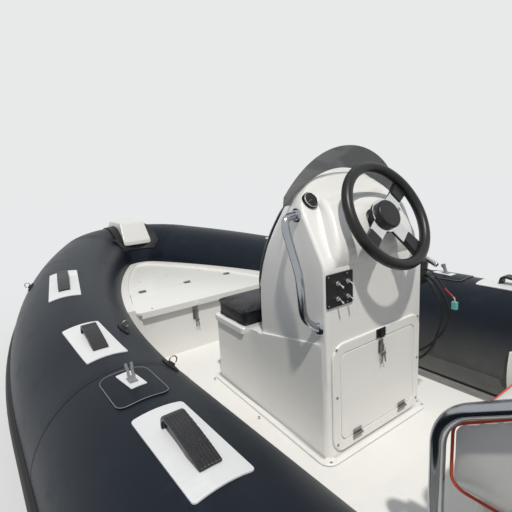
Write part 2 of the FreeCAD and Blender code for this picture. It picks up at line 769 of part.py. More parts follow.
FACING_AFT = Rotation(Vector(0, -1, 0), UP, Vector(-1, 0, 0), "ZYX")
LATCH_Y = 130


def make_latches():
    """The door's latch with its keeper on the frame above, and the locker's latch."""
    top = size["door_bottom"] + size["door_height"]
    spot = CONSOLE.add(Vector(-GAP - size["door_thick"] - GAP, 0, top - 27))
    add_node("door_latch", latch(24, 42), Placement(spot, FACING_AFT))
    plate = box((-22, -14, 0), (22, 14, 3))
    hook = box((-9, -14, 3), (9, 6, 9))
    spot = CONSOLE.add(Vector(-GAP - size["frame_thick"] - GAP, 0, top + 20))
    add_node("latch_keeper", joined([plate, hook]), Placement(spot, FACING_AFT))
    spot = Vector(size["console_x"] + size["locker_x"] - GAP, LATCH_Y, DECK + size["locker_height"] - 72)
    add_node("locker_latch", latch(30, 66), Placement(spot, FACING_AFT))


def wheel_frame():
    """The wheel's axis towards the helmsman, and the placement of its own frame."""
    tilt = math.radians(size["wheel_tilt"])
    normal = Vector(-math.cos(tilt), 0, math.sin(tilt))
    raised = Vector(math.sin(tilt), 0, math.cos(tilt))
    turn = Rotation(Vector(0, -1, 0), raised, normal, "ZYX")
    return normal, Placement(Vector(size["wheel_x"], -size["console_y"], size["wheel_z"]), turn)


def console_placement(local):
    return Placement(CONSOLE, Rotation()).multiply(local)


def wheel_arms(inner, outer, inner_half, outer_half, low, high):
    """Three flat arms of the wheel, in its own frame."""
    arms = []
    for angle in (0, 180, 270):
        outline = [Vector(inner, -inner_half, low), Vector(outer, -outer_half, low),
                   Vector(outer, outer_half, low), Vector(inner, inner_half, low)]
        arm = face_of(outline).extrude(UP * (high - low))
        arm.rotate(CENTRE, UP, angle + size["wheel_turn"])
        arms.append(arm)
    return arms


def make_steering():
    """A padded wheel with a bright three-armed plate, on a bellows. Its hub turns on the shaft."""
    rim_r = size["rim_thick"] / 2
    reach = size["wheel_diameter"] / 2 - rim_r
    cap_r = size["hub_radius"]
    ring = Part.makeTorus(reach, rim_r)
    hub = Part.makeCylinder(cap_r + 5, 12, Vector(0, 0, -22))
    stem = Part.makeCylinder(30, 16, Vector(0, 0, -12))
    cap = Part.makeCylinder(cap_r, 17, Vector(0, 0, -6 + GAP))
    cap = cap.makeFillet(7, [e for e in cap.Edges if e.BoundBox.ZMin > 10])
    inside = Part.makeCylinder(reach - 5, 60, Vector(0, 0, -40))
    arms = [arm.common(inside) for arm in wheel_arms(25, reach, 22, 21, -20, -10)]
    pads = [arm.common(inside) for arm in wheel_arms(92, reach, 21, 27, -19, -2)]
    pads = [pad.makeFillet(3, [e for e in pad.Edges if e.BoundBox.ZMin > -2.1 and e.Curve.TypeId == "Part::GeomLine"
                               and e.BoundBox.DiagonalLength > 20]) for pad in pads]
    bore = Part.makeCylinder(size["shaft_radius"] + 0.1, 16, Vector(0, 0, -23))
    normal, local = wheel_frame()
    wheel = joined([ring, hub, stem, cap] + arms + pads)
    add_node("steering_wheel", wheel.cut(bore), console_placement(local))
    plate = joined([Part.makeCylinder(cap_r + 8, 4 - 2 * GAP, Vector(0, 0, -10 + GAP))] +
                   wheel_arms(25, 92 - GAP, 26, 24, -10 + GAP, -6))
    plate = plate.cut([Part.makeCylinder(30 + GAP, 20, Vector(0, 0, -20)), joined(pads)])
    add_node("wheel_plate", plate, console_placement(local))
    small = size["column_radius"]
    folds = [Vector(0, 0, -118), Vector(small + 16, 0, -118)]
    depth, wide = -84.0, small + 14
    while depth < -36:
        folds.append(Vector(wide, 0, depth))
        folds.append(Vector(wide - 7, 0, depth + 6))
        depth += 12
        wide -= 3.4
    folds += [Vector(small - 4, 0, -24 - GAP), Vector(0, 0, -24 - GAP)]
    bellows = face_of(folds).revolve(CENTRE, UP, 360)
    shaft = Part.makeCylinder(size["shaft_radius"], 18, Vector(0, 0, -26))
    pod = helm_pod()
    clear = pod.copy()
    clear.translate(normal * GAP)
    column = placed(joined([bellows, shaft]), local).cut([console_upper(-GAP), pod, clear])
    column = max(column.Solids, key=lambda solid: solid.CenterOfMass.dot(normal))
    add_node("steering_column", column, Placement(CONSOLE, Rotation()))


def make_dash():
    panel_y = 239.4 - size["panel_width"] / 2
    panel_z = 590.7 - size["panel_height"] / 2
    place = Placement(CONSOLE.add(Vector(-GAP, panel_y - 7, panel_z - 6)), FACING_AFT)
    rounded_pad("switch_panel", "Sizes.panel_width", "Sizes.panel_height", "4", "Sizes.panel_thick", place)
    toggles = []
    front = size["panel_thick"] + GAP
    for x in (-14, 28):
        for y in (20, -25):
            collar = Part.makeCylinder(7, 4, Vector(x, y, front))
            nut = Part.makeCylinder(5, 9, Vector(x, y, front))
            stick = Part.makeCone(2.4, 3.8, 20, Vector(x, y, front + 7), Vector(0, -0.45, 1))
            stick = stick.makeFillet(3, [e for e in stick.Edges if e.BoundBox.ZMin > front + 20])
            toggles.append(joined([collar, nut, stick]))
    add_node("toggle_switches", Part.makeCompound(toggles), place)
    lean = math.radians(size["dash_lean"])
    turn = Rotation(Vector(0, -1, 0), Vector(math.sin(lean), 0, math.cos(lean)),
                    Vector(-math.cos(lean), 0, math.sin(lean)), "ZYX")
    height = 784
    seat = Placement(Vector((height - size["dash_foot"]) * math.tan(lean), 182, height), turn)
    case = Part.makeCylinder(26, 29, Vector(0, 0, -20))
    case = case.makeFillet(3, [e for e in case.Edges if e.BoundBox.ZMin > 8.9])
    case = placed(case.cut(Part.makeCylinder(22, 10, Vector(0, 0, 6))), seat)
    add_node("gauge", case.cut([console_upper(-GAP), helm_pod()]), Placement(CONSOLE, Rotation()))


def make_screen():
    """A curved, raked sheet in front of the dash's arch."""
    rake = math.radians(size["screen_rake"])
    along = Vector(-math.sin(rake), 0, math.cos(rake))
    chord, bulge = 540.0, 60.7
    thick = size["screen_thick"]
    foot = Vector(214, 0, 740)

    def arc_point(y, out):
        sag = bulge * (y / (chord / 2)) ** 2
        return foot.add(Vector(-sag + out, y, 0))
    half = chord / 2
    strip = face_of([
        arc_point(-half, 0), (arc_point(0, 0), arc_point(half, 0)),
        arc_point(half, thick), (arc_point(0, thick), arc_point(-half, thick)),
    ]).extrude(along * 320)
    outline = face_of([
        Vector(-100, -250, 772), Vector(-100, -262, 800), (Vector(-100, -165, 896.5), Vector(-100, 0, 944)),
        (Vector(-100, 165, 896.5), Vector(-100, 262, 800)), Vector(-100, 250, 772),
    ]).extrude(AHEAD * 600)
    clear = cowl(-GAP, GAP)
    screen = strip.common(outline).cut(clear)
    add_node("windscreen", max(screen.Solids, key=lambda solid: solid.Volume), Placement(CONSOLE, Rotation()))


def make_grab_rails():
    """Bent tubes with a rosette at each foot."""
    upper, lower = upper_half_at(120), upper_half_at(33)
    out = upper_half_at(80) + 49
    points = [Vector(121, upper - 8, 745), Vector(119, out, 741), Vector(55, out, 578), Vector(49, out, 468),
              Vector(33, lower - 8, 418)]
    rail = joined([
        bar(points, size["rail_radius"], 40),
        Part.makeCylinder(20, 8, Vector(121, upper - 4, 744), PORT),
        Part.makeCylinder(20, 8, Vector(34, lower - 4, 420), PORT),
    ]).cut(console_upper(-GAP))
    rail = max(rail.Solids, key=lambda solid: solid.Volume)
    add_node("port_grab_rail", rail, Placement(CONSOLE, Rotation()))
    add_node("starboard_grab_rail", mirrored(rail), Placement(CONSOLE, Rotation()))


def make_front_seat():
    """A lid that lifts from behind on hinges along the front, with its cushion."""
    start, end = size["seat_start"] + 5, size["console_length"]
    low = size["seat_rim"] + GAP
    lid = plan_prism(console_plan(-8, start, end), low, low + size["lid_thick"])
    lid = round_upright_corners(lid, 20)
    lid = lid.makeFillet(7, [e for e in lid.Edges if e.BoundBox.ZMin > low + size["lid_thick"] - 0.01])
    add_node("front_seat_lid", lid, Placement(CONSOLE, Rotation()))
    low = low + size["lid_thick"] + GAP
    high = low + size["cushion_thick"]
    cushion = plan_prism(console_plan(6, start + 2, end - 6), low, high)
    cushion = round_upright_corners(cushion, 30)
    top = [e for e in cushion.Edges if e.BoundBox.ZMin > high - 0.01]
    add_node("front_seat_cushion", cushion.makeFillet(16, top), Placement(CONSOLE, Rotation()))
    turn = Rotation(Vector(0, 0, -1), PORT, AHEAD, "ZXY")
    depth = end + GAP + size["knuckle"]
    spots = [CONSOLE.add(Vector(depth, y, size["seat_rim"] + GAP / 2)) for y in (-120, 120)]
    make_hinges("seat_hinge", [Placement(spot, turn) for spot in spots], size["hinge_length"])


def make_backrest():
    thick = size["pad_thick"]
    low = 385
    outer = cowl(26, thick + 26 + 4)
    trim = box((150, -184, low), (520, 184, 772))
    pad = outer.common(trim).cut([cowl(-GAP, GAP * 2), box((0, -400, 0), (size["upper_front"] - 175, 400, 1000))])
    front = box((size["upper_front"] + GAP, -300, 0), (700, 300, 1000)).common(pad)
    slope = pad.cut(box((size["upper_front"] + GAP, -300, 0), (700, 300, 1000)))
    add_node("backrest", joined([front, slope]), Placement(CONSOLE, Rotation()))


# Bow locker and step

def lid_plan(growth):
    start, depth = size["locker_lid_x"], size["locker_lid_depth"]
    aft, fore = size["locker_lid_aft_half"] + growth, size["locker_lid_fore_half"] + growth
    x0 = size["console_x"] + start - growth
    x1 = size["console_x"] + start + depth + growth
    return [(x0, -aft), (x1, -fore), (x1, fore), (x0, aft)]


def between_chambers(shape):
    """What lies inboard of both chambers, of a block they cut apart."""
    solids = shape.cut(CLEAR_OF_CHAMBERS).Solids
    return min(solids, key=lambda solid: abs(solid.CenterOfMass.y))


def make_locker():
    wall, top = size["locker_wall"], DECK + size["locker_height"]
    low = DECK + GAP
    aft = size["console_x"] + size["locker_x"]
    fore = BOW.x - R * 0.55
    skin_thick = size["locker_lid_thick"] + wall
    outer = between_chambers(box((aft, -640, low), (fore, 640, top + size["rim_height"])))
    inside = box((aft + wall, -640, low - 5), (size["locker_end"], 640, top - skin_thick))
    inside = inside.cut(swollen_chambers(GAP + wall))
    basin = box((aft - 1, -640, top), (fore + 1, 640, top + 60))
    basin = basin.cut(swollen_chambers(GAP + size["rim_width"]))
    block = box((size["locker_end"] + 10 - GAP, -640, low - 5), (fore + 60, 640, top - 20 + GAP))
    seat = plan_prism(lid_plan(2), top - size["locker_lid_thick"], top + 40)
    throat = plan_prism(lid_plan(-34), top - 60, top)
    cuts = [inside, basin, block, round_upright_corners(seat, 30), round_upright_corners(throat, 20)]
    shell = outer.cut(cuts)
    add_node("bow_locker", max(shell.Solids, key=lambda solid: solid.Volume))


def make_locker_lid():
    """A plate with a lip down its aft edge and the latch's catch on the lip."""
    top, thick = DECK + size["locker_height"], size["locker_lid_thick"]
    plate = plan_prism(lid_plan(0), top - thick + GAP, top)
    plate = round_upright_corners(plate, 28)
    start = size["console_x"] + size["locker_lid_x"]
    half = size["locker_lid_aft_half"] - 30
    lip = box((start, -half, top - 30), (start + 8, half, top))
    catch = box((start - 6, LATCH_Y - 9, top - 26), (start, LATCH_Y + 9, top - 10))
    add_node("locker_lid", joined([plate, lip, catch]))


def make_locker_hinges():
    top = DECK + size["locker_height"] + GAP
    edge = size["console_x"] + size["locker_lid_x"] + size["locker_lid_depth"] + size["door_gap"] / 2
    places = [Placement(Vector(edge, y, top + size["knuckle"]), Rotation()) for y in (-277, 0, 277)]
    make_hinges("locker_hinge", places, size["hinge_length"])


def make_bow_step():
    """A moulded step that straddles the bow chamber, on a rubber pad."""
    half, pad = size["step_half"], size["step_pad"]
    aft, top = BOW.x - R, BOW.z + R
    side = [
        (BOW.x - 60, BOW.z + 120), (aft - 4, BOW.z + 132), (aft - 2, BOW.z + 160), (aft + 78, top + 34),
        (aft + 112, top + 58), (BOW.x - 30, top + 66), (BOW.x + 70, top + 48), (BOW.x + 140, top - 8),
        (BOW.x + 150, top - 44), (BOW.x, BOW.z),
    ]
    block = side_prism(side, half + 40)
    front = face_of([
        Vector(aft - 80, y, z) for y, z in
        [(-half - 14, BOW.z), (-half - 4, BOW.z + 150), (8 - half, top + 40), (-half * 0.45, top + 60),
         (0, top + 67), (half * 0.45, top + 60), (half - 8, top + 40), (half + 4, BOW.z + 150), (half + 14, BOW.z)]
    ]).extrude(AHEAD * 600)
    block = block.common(front)
    seat = along_chamber(disc(R + GAP + pad + GAP), ["bow"])[0]
    block = block.cut(both_sides(seat))
    block = max(block.Solids, key=lambda solid: solid.Volume)
    add_node("bow_step", block)
    plan = box((aft - 40, -half - 52, BOW.z + 96), (BOW.x + 172, half + 52, top + 60))
    layer = joined(both_sides(along_chamber(disc(R + GAP + pad), ["bow"])[0]))
    layer = layer.cut(both_sides(along_chamber(disc(R + GAP), ["bow"])[0])).common(plan)
    add_node("bow_step_pad", max(layer.Solids, key=lambda solid: solid.Volume))


# Fittings on the chambers

PATCHES = [
    # centre x and y from the console's aft face, length, width, degrees of turn, corner
    (1206, 697, 388, 125, -10.7, 5),
    (544, 748, 284, 122, 2, 6),
    (-110, 744, 290, 122, 0, 9),
]
NAVY_PATCH = (182, 746, 178, 130, 0, 26)
CLEAT_PAD = (204, 743, 94, 43, 6, 3)
HANDLES = [
    # centre x and y from the console's aft face, length, degrees of turn
    (1210, 696, 214, -10),
    (555, 746, 158, 2),
    (-124, 744, 170, 0),
]


def patch_prism(x, y, length, width, turn, corner):
    block = box((-length / 2, -width / 2, DECK + size["tube_rise"]), (length / 2, width / 2, 900))
    block = round_upright_corners(block, corner)
    block.rotate(CENTRE, UP, turn)
    block.translate(Vector(size["console_x"] + x, y, 0))
    return block


def on_chamber(skin, rows):
    """The pieces of a layer on the port chamber that stand over each row's outline."""
    pieces = [skin.common(patch_prism(*row)) for row in rows]
    return [max(piece.Solids, key=lambda solid: solid.Volume) for piece in pieces]


def make_patches():
    """Reinforcing patches that follow the chambers' round."""
    thick = size["patch_thick"]
    navy = on_chamber(chamber_skin(thick), [NAVY_PATCH])[0]
    add_node("navy_patches", Part.makeCompound(both_sides(navy)))
    on_navy = on_chamber(chamber_skin(2, thick + GAP), [CLEAT_PAD])
    port = Part.makeCompound(on_chamber(chamber_skin(thick), PATCHES) + on_navy)
    add_node("port_patches", port)
    add_node("starboard_patches", mirrored(port))


ON_PATCH = size["patch_thick"] + GAP
ABOVE_PATCH = swollen_chambers(GAP + ON_PATCH)
ABOVE_PAD = swollen_chambers(GAP + ON_PATCH + 2 + GAP)


def handle_at(row):
    """A rubber handle: a flat band that rises steeply forward and slopes down aft, open beneath."""
    x, y, length, turn = row
    half, wide = length / 2, size["handle_width"] / 2
    outer = [(-half, -12), (-half, 5), ((-half * 0.2, 22), (half - 34, 33)), ((half - 14, 32), (half - 3, 20)),
             (half, 0), (half, -12)]
    inner = [(half - 9, -13), (half - 11, 14), ((half - 17, 22), (half - 34, 23)),
             ((half - length * 0.42, 17), (half - length * 0.68, 0)), (half - length * 0.68, -13)]
    solid = side_prism(outer, wide).cut(side_prism(inner, wide + 6))
    solid.translate(UP * (R + GAP + ON_PATCH))
    frame = chamber_frame(size["console_x"] + x)
    offset = frame.inverse().multVec(Vector(size["console_x"] + x, y, frame.Base.z + R))
    lean = math.degrees(math.atan2(offset.y, R))
    return placed(placed(solid, Placement(CENTRE, Rotation(AHEAD, -lean))), frame).cut(ABOVE_PATCH)


def make_handles():
    port = Part.makeCompound([handle_at(row) for row in HANDLES])
    add_node("port_handles", port)
    add_node("starboard_handles", mirrored(port))


def make_cleats():
    """An upright two-pronged cleat on each small pad."""
    base = R + GAP + ON_PATCH + 2 + GAP
    plate = box((-16, -11, base - 4), (16, 11, base + 3))
    stem = box((-5, -9, base), (3, 9, base + 34))
    prongs = [box((-6, low, base + 30), (6, low + 6, base + 44)) for low in (-10, 4)]
    post = joined([stem.cut(box((-10, -2.5, base + 12), (10, 2.5, base + 36)))] + prongs)
    post.rotate(Vector(0, 0, base), PORT, 22)
    place = chamber_frame(size["console_x"] + 196)
    cleat = placed(joined([plate, post]), place).cut(ABOVE_PAD)
    cleat = max(cleat.Solids, key=lambda solid: solid.Volume)
    add_node("strap_cleats", Part.makeCompound(both_sides(cleat)))


# Helm seat

def make_helm_seat():
    x0, x1 = size["helm_x"], size["helm_x"] + size["helm_length"]
    half, wall = size["helm_half"], size["helm_wall"]
    low = DECK + size["aft_floor"] + GAP
    top = low + size["helm_height"]
    outer = round_upright_corners(box((x0, -half, low), (x1, half, top)), 40)
    inner = box((x0 + wall, -half + wall, low - 1), (x1 - wall, half - wall, top - wall))
    add_node("helm_seat_box", outer.cut(round_upright_corners(inner, 32)))
    low, high = top + GAP, top + GAP + size["helm_cushion"]
    cushion = round_upright_corners(box((x0 + 40, -half + 3, low), (x1 - 4, half - 3, high)), 50)
    rounded = [e for e in cushion.Edges if e.BoundBox.ZMin > high - 0.01]
    add_node("helm_cushion", cushion.makeFillet(22, rounded))
    back = DECK + size["hoop_back"]
    rest = box((x0 - 28, -half + 30, back - 150), (x0 + 42, half - 30, back + 60))
    add_node("helm_backrest", rest.makeFillet(24, rest.Edges))


def make_helm_hoop():
    """A bent tube: feet on the seat's sides, front legs, rising sides and a bar behind the backrest."""
    r, out, front = size["hoop_radius"], size["hoop_half"], size["hoop_front"]
    half, back = size["helm_half"], DECK + size["hoop_back"]
    corner = DECK + size["hoop_corner"]
    rise_end = front - (back - corner) / math.tan(math.radians(size["hoop_slope"]))
    aft = size["helm_x"] - 28 - GAP - r
    foot = DECK + size["aft_floor"] + 70
    points = [
        Vector(front - 85, half - 12, foot), Vector(front - 40, out, foot), Vector(front, out, foot + 60),
        Vector(front, out, corner), Vector(rise_end, out, back), Vector(aft, out, back),
        Vector(aft, 0, back),
    ]
    hoop = joined(both_sides(bar(points, r, 110)))
    box_side = box((size["helm_x"], -half - GAP, 0), (front - 20, half + GAP, corner - 40))
    kept = max(hoop.cut([box_side]).Solids, key=lambda solid: solid.Volume)
    add_node("helm_hoop", kept)
    outline = [(front - 27, corner - 160), (front - 27, corner - 26), (rise_end + 14, back - 26),
               (size["helm_x"] + 46, back - 26), (size["helm_x"] + 46, corner - 160)]
    panel = side_prism(outline, 100)
    panel = panel.common(box((0, 0, 0), (3000, out - r - half - 2 * GAP, 2000)))
    panel.translate(Vector(0, half + GAP, 0))
    across = [e for e in panel.Edges if abs(e.tangentAt(e.FirstParameter).y) > 0.999]
    panel = panel.makeFillet(24, across)
    rims = [e for e in panel.Edges if e.BoundBox.YLength < 0.01]
    panel = panel.makeFillet(8, rims)
    add_node("helm_bolsters", Part.makeCompound(both_sides(panel)))


# Controls on the console's starboard side

CABLES = [
    # each route's x, y, z points from the console's aft face and the floor
    [(0.2, -262, 492), (-18, -262, 492), (-44, -268, 458), (-64, -280, 414), (-72, -290, 366), (-66, -297, 320),
     (-46, -298, 278), (-20, -295, 240), (10, -285, 208), (40, -268, 188), (66, -246, 178)],
    [(0.2, -262, 474), (-14, -262, 474), (-36, -260, 438), (-50, -266, 404), (-54, -276, 362), (-50, -280, 318),
     (-36, -280, 270), (-22, -278, 222), (4, -272, 182), (44, -256, 158), (84, -238, 146)],
]
WIRE = [(0.2, -266, 512), (-14, -266, 512), (-30, -277, 490), (-44, -288, 464), (-58, -296, 440),
        (-70, -301, 427), (-80, -303, 419), (-84, -304, 411), (-84, -304, 403)]


def make_controls():
    face = -upper_half_at(0)
    case = box((0.5, face - 40, 464), (26, face + 8, 545))
    case = case.makeFillet(8, [e for e in case.Edges if e.BoundBox.YMax < face - 20])
    case = max(case.cut([console_upper(-GAP)]).Solids, key=lambda solid: solid.Volume)
    add_node("control_box", case, Placement(CONSOLE, Rotation()))
    pivot = Vector(18, face - 40 - GAP, 505)
    grip = pivot.y - 13
    arm = bar([pivot, Vector(18, grip, 505), Vector(12, grip, 540)], 6, 10)
    handle = rod(Vector(31, grip, 553), Vector(-26, grip, 527), 9.5)
    handle = handle.makeFillet(4, [e for e in handle.Edges if e.Closed and e.BoundBox.DiagonalLength < 40])
    add_node("control_lever", joined([arm, handle]), Placement(CONSOLE, Rotation()))
    grommets = []
    for number, route in enumerate(CABLES, start=1):
        points = [Vector(*p) for p in route]
        add_node("control_cable_%d" % number, cord(points, size["cable_radius"]), Placement(CONSOLE, Rotation()))
        end = points[-1]
        heading = end.sub(points[-2])
        heading.normalize()
        grommet = Part.makeCylinder(10, 30, end.add(heading * GAP), heading)
        grommets.append(grommet.cut([console_base(-GAP)]))
    kept = [max(g.Solids, key=lambda s: s.BoundBox.YMin * -1) for g in grommets]
    add_node("cable_grommets", Part.makeCompound(kept), Placement(CONSOLE, Rotation()))
    points = [Vector(*p) for p in WIRE]
    add_node("wiring_tail", cord(points, size["wire_radius"]), Placement(CONSOLE, Rotation()))
    end = points[-1]
    plug = box((end.x - 9, end.y - 6, end.z - 26 - GAP), (end.x + 9, end.y + 6, end.z - GAP))
    add_node("wiring_connector", plug, Placement(CONSOLE, Rotation()))


def cord(points, radius):
    """A free cable: each arc is as large as its two runs allow."""
    radii = []
    for before, corner, after in zip(points, points[1:], points[2:]):
        into, out = corner.sub(before), after.sub(corner)
        radii.append(0.45 * min(into.Length, out.Length) / math.tan(into.getAngle(out) / 2))
    print("cord radii", [round(r) for r in radii], "of diameter", 2 * radius)
    return bar(points, radius, 1e9)


# Towing points and small marine fittings

def eye(bar_radius, spread, reach):
    """A U-bolt whose loop stands out along +X, with a washer on each leg."""
    half = spread / 2
    points = [Vector(-30, -half, 0), Vector(reach, -half, 0), Vector(reach, half, 0), Vector(-30, half, 0)]
    pieces = [bar(points, bar_radius, half)]
    for side in (-1, 1):
        pieces.append(Part.makeCylinder(bar_radius * 2.2, 34, Vector(-30, side * half, 0), AHEAD))
    return joined(pieces)


def make_eyes():
    """A U-bolt on the stem and one on each side of the transom."""
    lower, upper = HULL_STATIONS[5], HULL_STATIONS[6]
    start, end = Vector(lower[0], 0, lower[1]), Vector(upper[0], 0, upper[1])
    along = end.sub(start)
    along.normalize()
    outward = Vector(along.z, 0, -along.x)
    turn = Rotation(outward, along, PORT, "XYZ")
    spot = start.add(end.sub(start) * 0.8)
    bow = placed(eye(6, 60, 46), Placement(spot, turn)).cut(HULL_BLOCK)
    bow = joined([solid for solid in bow.Solids if solid.CenterOfMass.sub(spot).dot(outward) > 0])
    turn = Rotation(AHEAD * -1, UP, PORT, "XYZ")
    board = box((-GAP, -700, -300), (200, 700, 500))
    stern = placed(eye(5, 40, 40), Placement(Vector(0, 420, 60), turn)).cut(board)
    add_node("towing_eyes", Part.makeCompound([bow] + both_sides(stern)))


def make_drain():
    bung = Part.makeCylinder(17, 12, Vector(-GAP, 0, -150), AHEAD * -1)
    ridge = box((-GAP - 20, -4, -164), (-GAP - 12, 4, -136))
    add_node("drain_plug", joined([bung, ridge]))


LASHINGS = [
    # x from the console's aft face, degrees above level, 1 for the outboard side and -1 for inboard
    (322, 52, -1),
    (655, 62, -1),
    (1500, 40, 1),
]


def flank(shape, x, up_angle, side):
    """A shape that stands up along Z, swung to the port chamber's outboard or inboard side."""
    turned = placed(shape, Placement(CENTRE, Rotation(AHEAD, (up_angle - 90) * side)))
    return placed(turned, chamber_frame(x))


def make_lashings():
    """Slim rubber lashing pads on the chambers, each with a ring held in its bridge."""
    base = R + GAP
    layer = chamber_skin(5)
    reach = 58
    slim = face_of([Vector(-reach, 0, base - 20), (Vector(0, -18, base - 20), Vector(reach, 0, base - 20)),
                    (Vector(0, 18, base - 20), Vector(-reach, 0, base - 20))]).extrude(UP * 40)
    pads, rings = [], []
    for x, angle, side in LASHINGS:
        at = size["console_x"] + x
        pad = layer.common(flank(slim, at, angle, side))
        bridge = flank(box((-14, -7, base + 3), (14, 7, base + 12)), at, angle, side)
        centre = Vector(0, 0, base + 7 + 12)
        ring = flank(Part.makeTorus(12, 2, centre, AHEAD), at, angle, side)
        slot = flank(Part.makeTorus(12, 2 + GAP, centre, AHEAD), at, angle, side)
        pads.append(joined([pad, bridge]).cut([slot]))
        rings.append(ring)
    add_node("lashing_pads", Part.makeCompound([s for p in pads for s in both_sides(p)]))
    add_node("lashing_rings", Part.makeCompound([s for r in rings for s in both_sides(r)]))


def make_valves():
    """Inflation valves: one inboard at each chamber's aft end, and one on the bow chamber."""
    valves = []
    for side in (1, -1):
        up = math.radians(48)
        outward = Vector(0, -side * math.cos(up), math.sin(up))
        middle = Vector(330, side * size["tube_offset"], DECK + size["tube_rise"])
        valves.append((middle, outward))
    start, outward, upward, move, centre, axis, angle = RUNS["bow"]
    swing = Rotation(axis, 3)
    middle = centre.add(swing.multVec(start.sub(centre)))
    inward = centre.sub(middle)
    inward.normalize()
    valves.append((middle, inward * math.cos(math.radians(50)) + upward * math.sin(math.radians(50))))
    caps = []
    for middle, outward in valves:
        cap = Part.makeCylinder(21, 24, middle.add(outward * (R - 16)), outward)
        knob = Part.makeCylinder(13, 12, middle.add(outward * (R + 7)), outward)
        caps.append(max(joined([cap, knob]).cut(CLEAR_OF_CHAMBERS).Solids, key=lambda solid: solid.Volume))
    add_node("valves", Part.makeCompound(caps))


make_chambers()
make_strake()
make_hull()
make_deck()
make_transom()
make_aft_floor()
make_trims()
make_console()
make_door()
make_door_hinges()
make_latches()
make_steering()
make_dash()
make_screen()
make_grab_rails()
make_front_seat()
make_backrest()
make_locker()
make_locker_lid()
make_locker_hinges()
make_bow_step()
make_patches()
make_handles()
make_cleats()
make_helm_seat()
make_helm_hoop()
make_controls()
make_lashings()
make_valves()
make_eyes()
make_drain()
doc.recompute()

os.makedirs("parts", exist_ok=True)
for feature in doc.Objects:
    if "Invalid" in feature.State or "Error" in feature.State:
        raise RuntimeError("failed: " + feature.Label)
for node in nodes:
    if node.Shape.isNull() or not node.Shape.isValid():
        raise RuntimeError("bad shape: " + node.Label)
    if not node.Shape.Solids:
        raise RuntimeError("no solid: " + node.Label)
for node in nodes:
    node.Shape.exportStep("parts/%s.step" % node.Label)
    print(node.Label, len(node.Shape.Solids), round(node.Shape.Volume / 1e6, 3))
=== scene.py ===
import json
import math

import bmesh
import bpy
from bpy.props import FloatProperty, FloatVectorProperty, PointerProperty
from mathutils import Matrix, Vector
from mathutils.kdtree import KDTree


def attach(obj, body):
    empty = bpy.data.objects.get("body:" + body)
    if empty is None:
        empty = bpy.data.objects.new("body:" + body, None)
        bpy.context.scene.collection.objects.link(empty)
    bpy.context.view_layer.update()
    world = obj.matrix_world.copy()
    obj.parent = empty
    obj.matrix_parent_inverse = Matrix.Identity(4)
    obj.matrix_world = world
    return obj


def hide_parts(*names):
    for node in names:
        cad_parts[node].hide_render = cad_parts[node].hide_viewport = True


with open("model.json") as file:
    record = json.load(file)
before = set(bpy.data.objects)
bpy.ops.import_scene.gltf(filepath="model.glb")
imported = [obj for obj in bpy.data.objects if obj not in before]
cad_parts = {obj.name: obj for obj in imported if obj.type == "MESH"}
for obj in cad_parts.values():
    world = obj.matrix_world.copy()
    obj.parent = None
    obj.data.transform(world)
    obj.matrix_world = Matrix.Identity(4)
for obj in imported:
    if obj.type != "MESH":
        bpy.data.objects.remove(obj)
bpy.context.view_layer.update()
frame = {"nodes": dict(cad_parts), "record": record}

bl_info = {
    "name": "Inflatable Rib Boat",
    "version": (1, 0, 0),
    "blender": (4, 5, 0),
    "location": "View3D > Sidebar > Rib Boat",
    "description": "Dresses the packed model of an inflatable boat with finishes and soft goods",
    "category": "Object",
}

NODES = frame["nodes"]

# Places from the source, in metres: the console's aft face and its middle, the cockpit floor, the
# bow locker's top with room for a screw's edge
CONSOLE_X = 1.45
CONSOLE_Y = 0.01
FLOOR_Z = 0.15
LOCKER_TOP = 0.4128

AFT = (-1, 0, 0)
UP = (0, 0, 1)
SIDES = ((1, "port"), (-1, "starboard"))
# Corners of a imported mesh's loose triangles that are nearer than this are joined
WELD = 1e-5


def at_console(x, y, z):
    """A point given from the console's aft face, its middle and the cockpit floor."""
    return Vector((CONSOLE_X + x, CONSOLE_Y + y, FLOOR_Z + z))


# Settings

def colour_setting(name, description, default):
    return FloatVectorProperty(name=name, description=description, subtype="COLOR", size=3, min=0,
                               max=1, default=default)


class RibFinishes(bpy.types.PropertyGroup):
    """Colours of the boat."""
    chamber: colour_setting(
        "Chambers", "Coated fabric of the air chambers", (0.0088, 0.0122, 0.0185))
    gelcoat: colour_setting("Gelcoat", "White mouldings", (0.76, 0.752, 0.722))
    patch: colour_setting("Patches", "White reinforcing patches", (0.66, 0.665, 0.665))
    dark_vinyl: colour_setting(
        "Dark vinyl", "Front seat and its backrest", (0.010, 0.011, 0.014))
    pale_vinyl: colour_setting("Pale vinyl", "Helm seat's covers", (0.74, 0.73, 0.70))
    piping: colour_setting("Piping", "Welt along the helm seat's seams", (0.55, 0.07, 0.03))


class RibStage(bpy.types.PropertyGroup):
    """Light, floor and view."""
    sun_strength: FloatProperty(
        name="Sun", description="Strength of the main lamp", min=0, max=20, default=2.75)
    sun_softness: FloatProperty(
        name="Softness", description="Width of the main lamp as seen from the boat",
        subtype="ANGLE", min=0, max=1.5, default=math.radians(2.5))
    sky_strength: FloatProperty(
        name="Sky", description="Light from all round", min=0, max=5, default=0.5)
    sun_colour: colour_setting("Sun colour", "Colour of the main lamp", (1.0, 0.97, 0.92))
    sky_colour: colour_setting(
        "Sky colour", "Colour of the light from all round", (0.86, 0.92, 1.0))
    backdrop: colour_setting(
        "Backdrop", "What stands behind the boat, as bright as the lit floor",
        (0.806, 0.820, 0.8245))
    floor: colour_setting("Floor", "Floor at the waterline", (0.675, 0.68, 0.685))
    lens: FloatProperty(
        name="Lens", description="Focal length on a 36 mm frame", min=10, max=200, default=28.46)


# Shader building

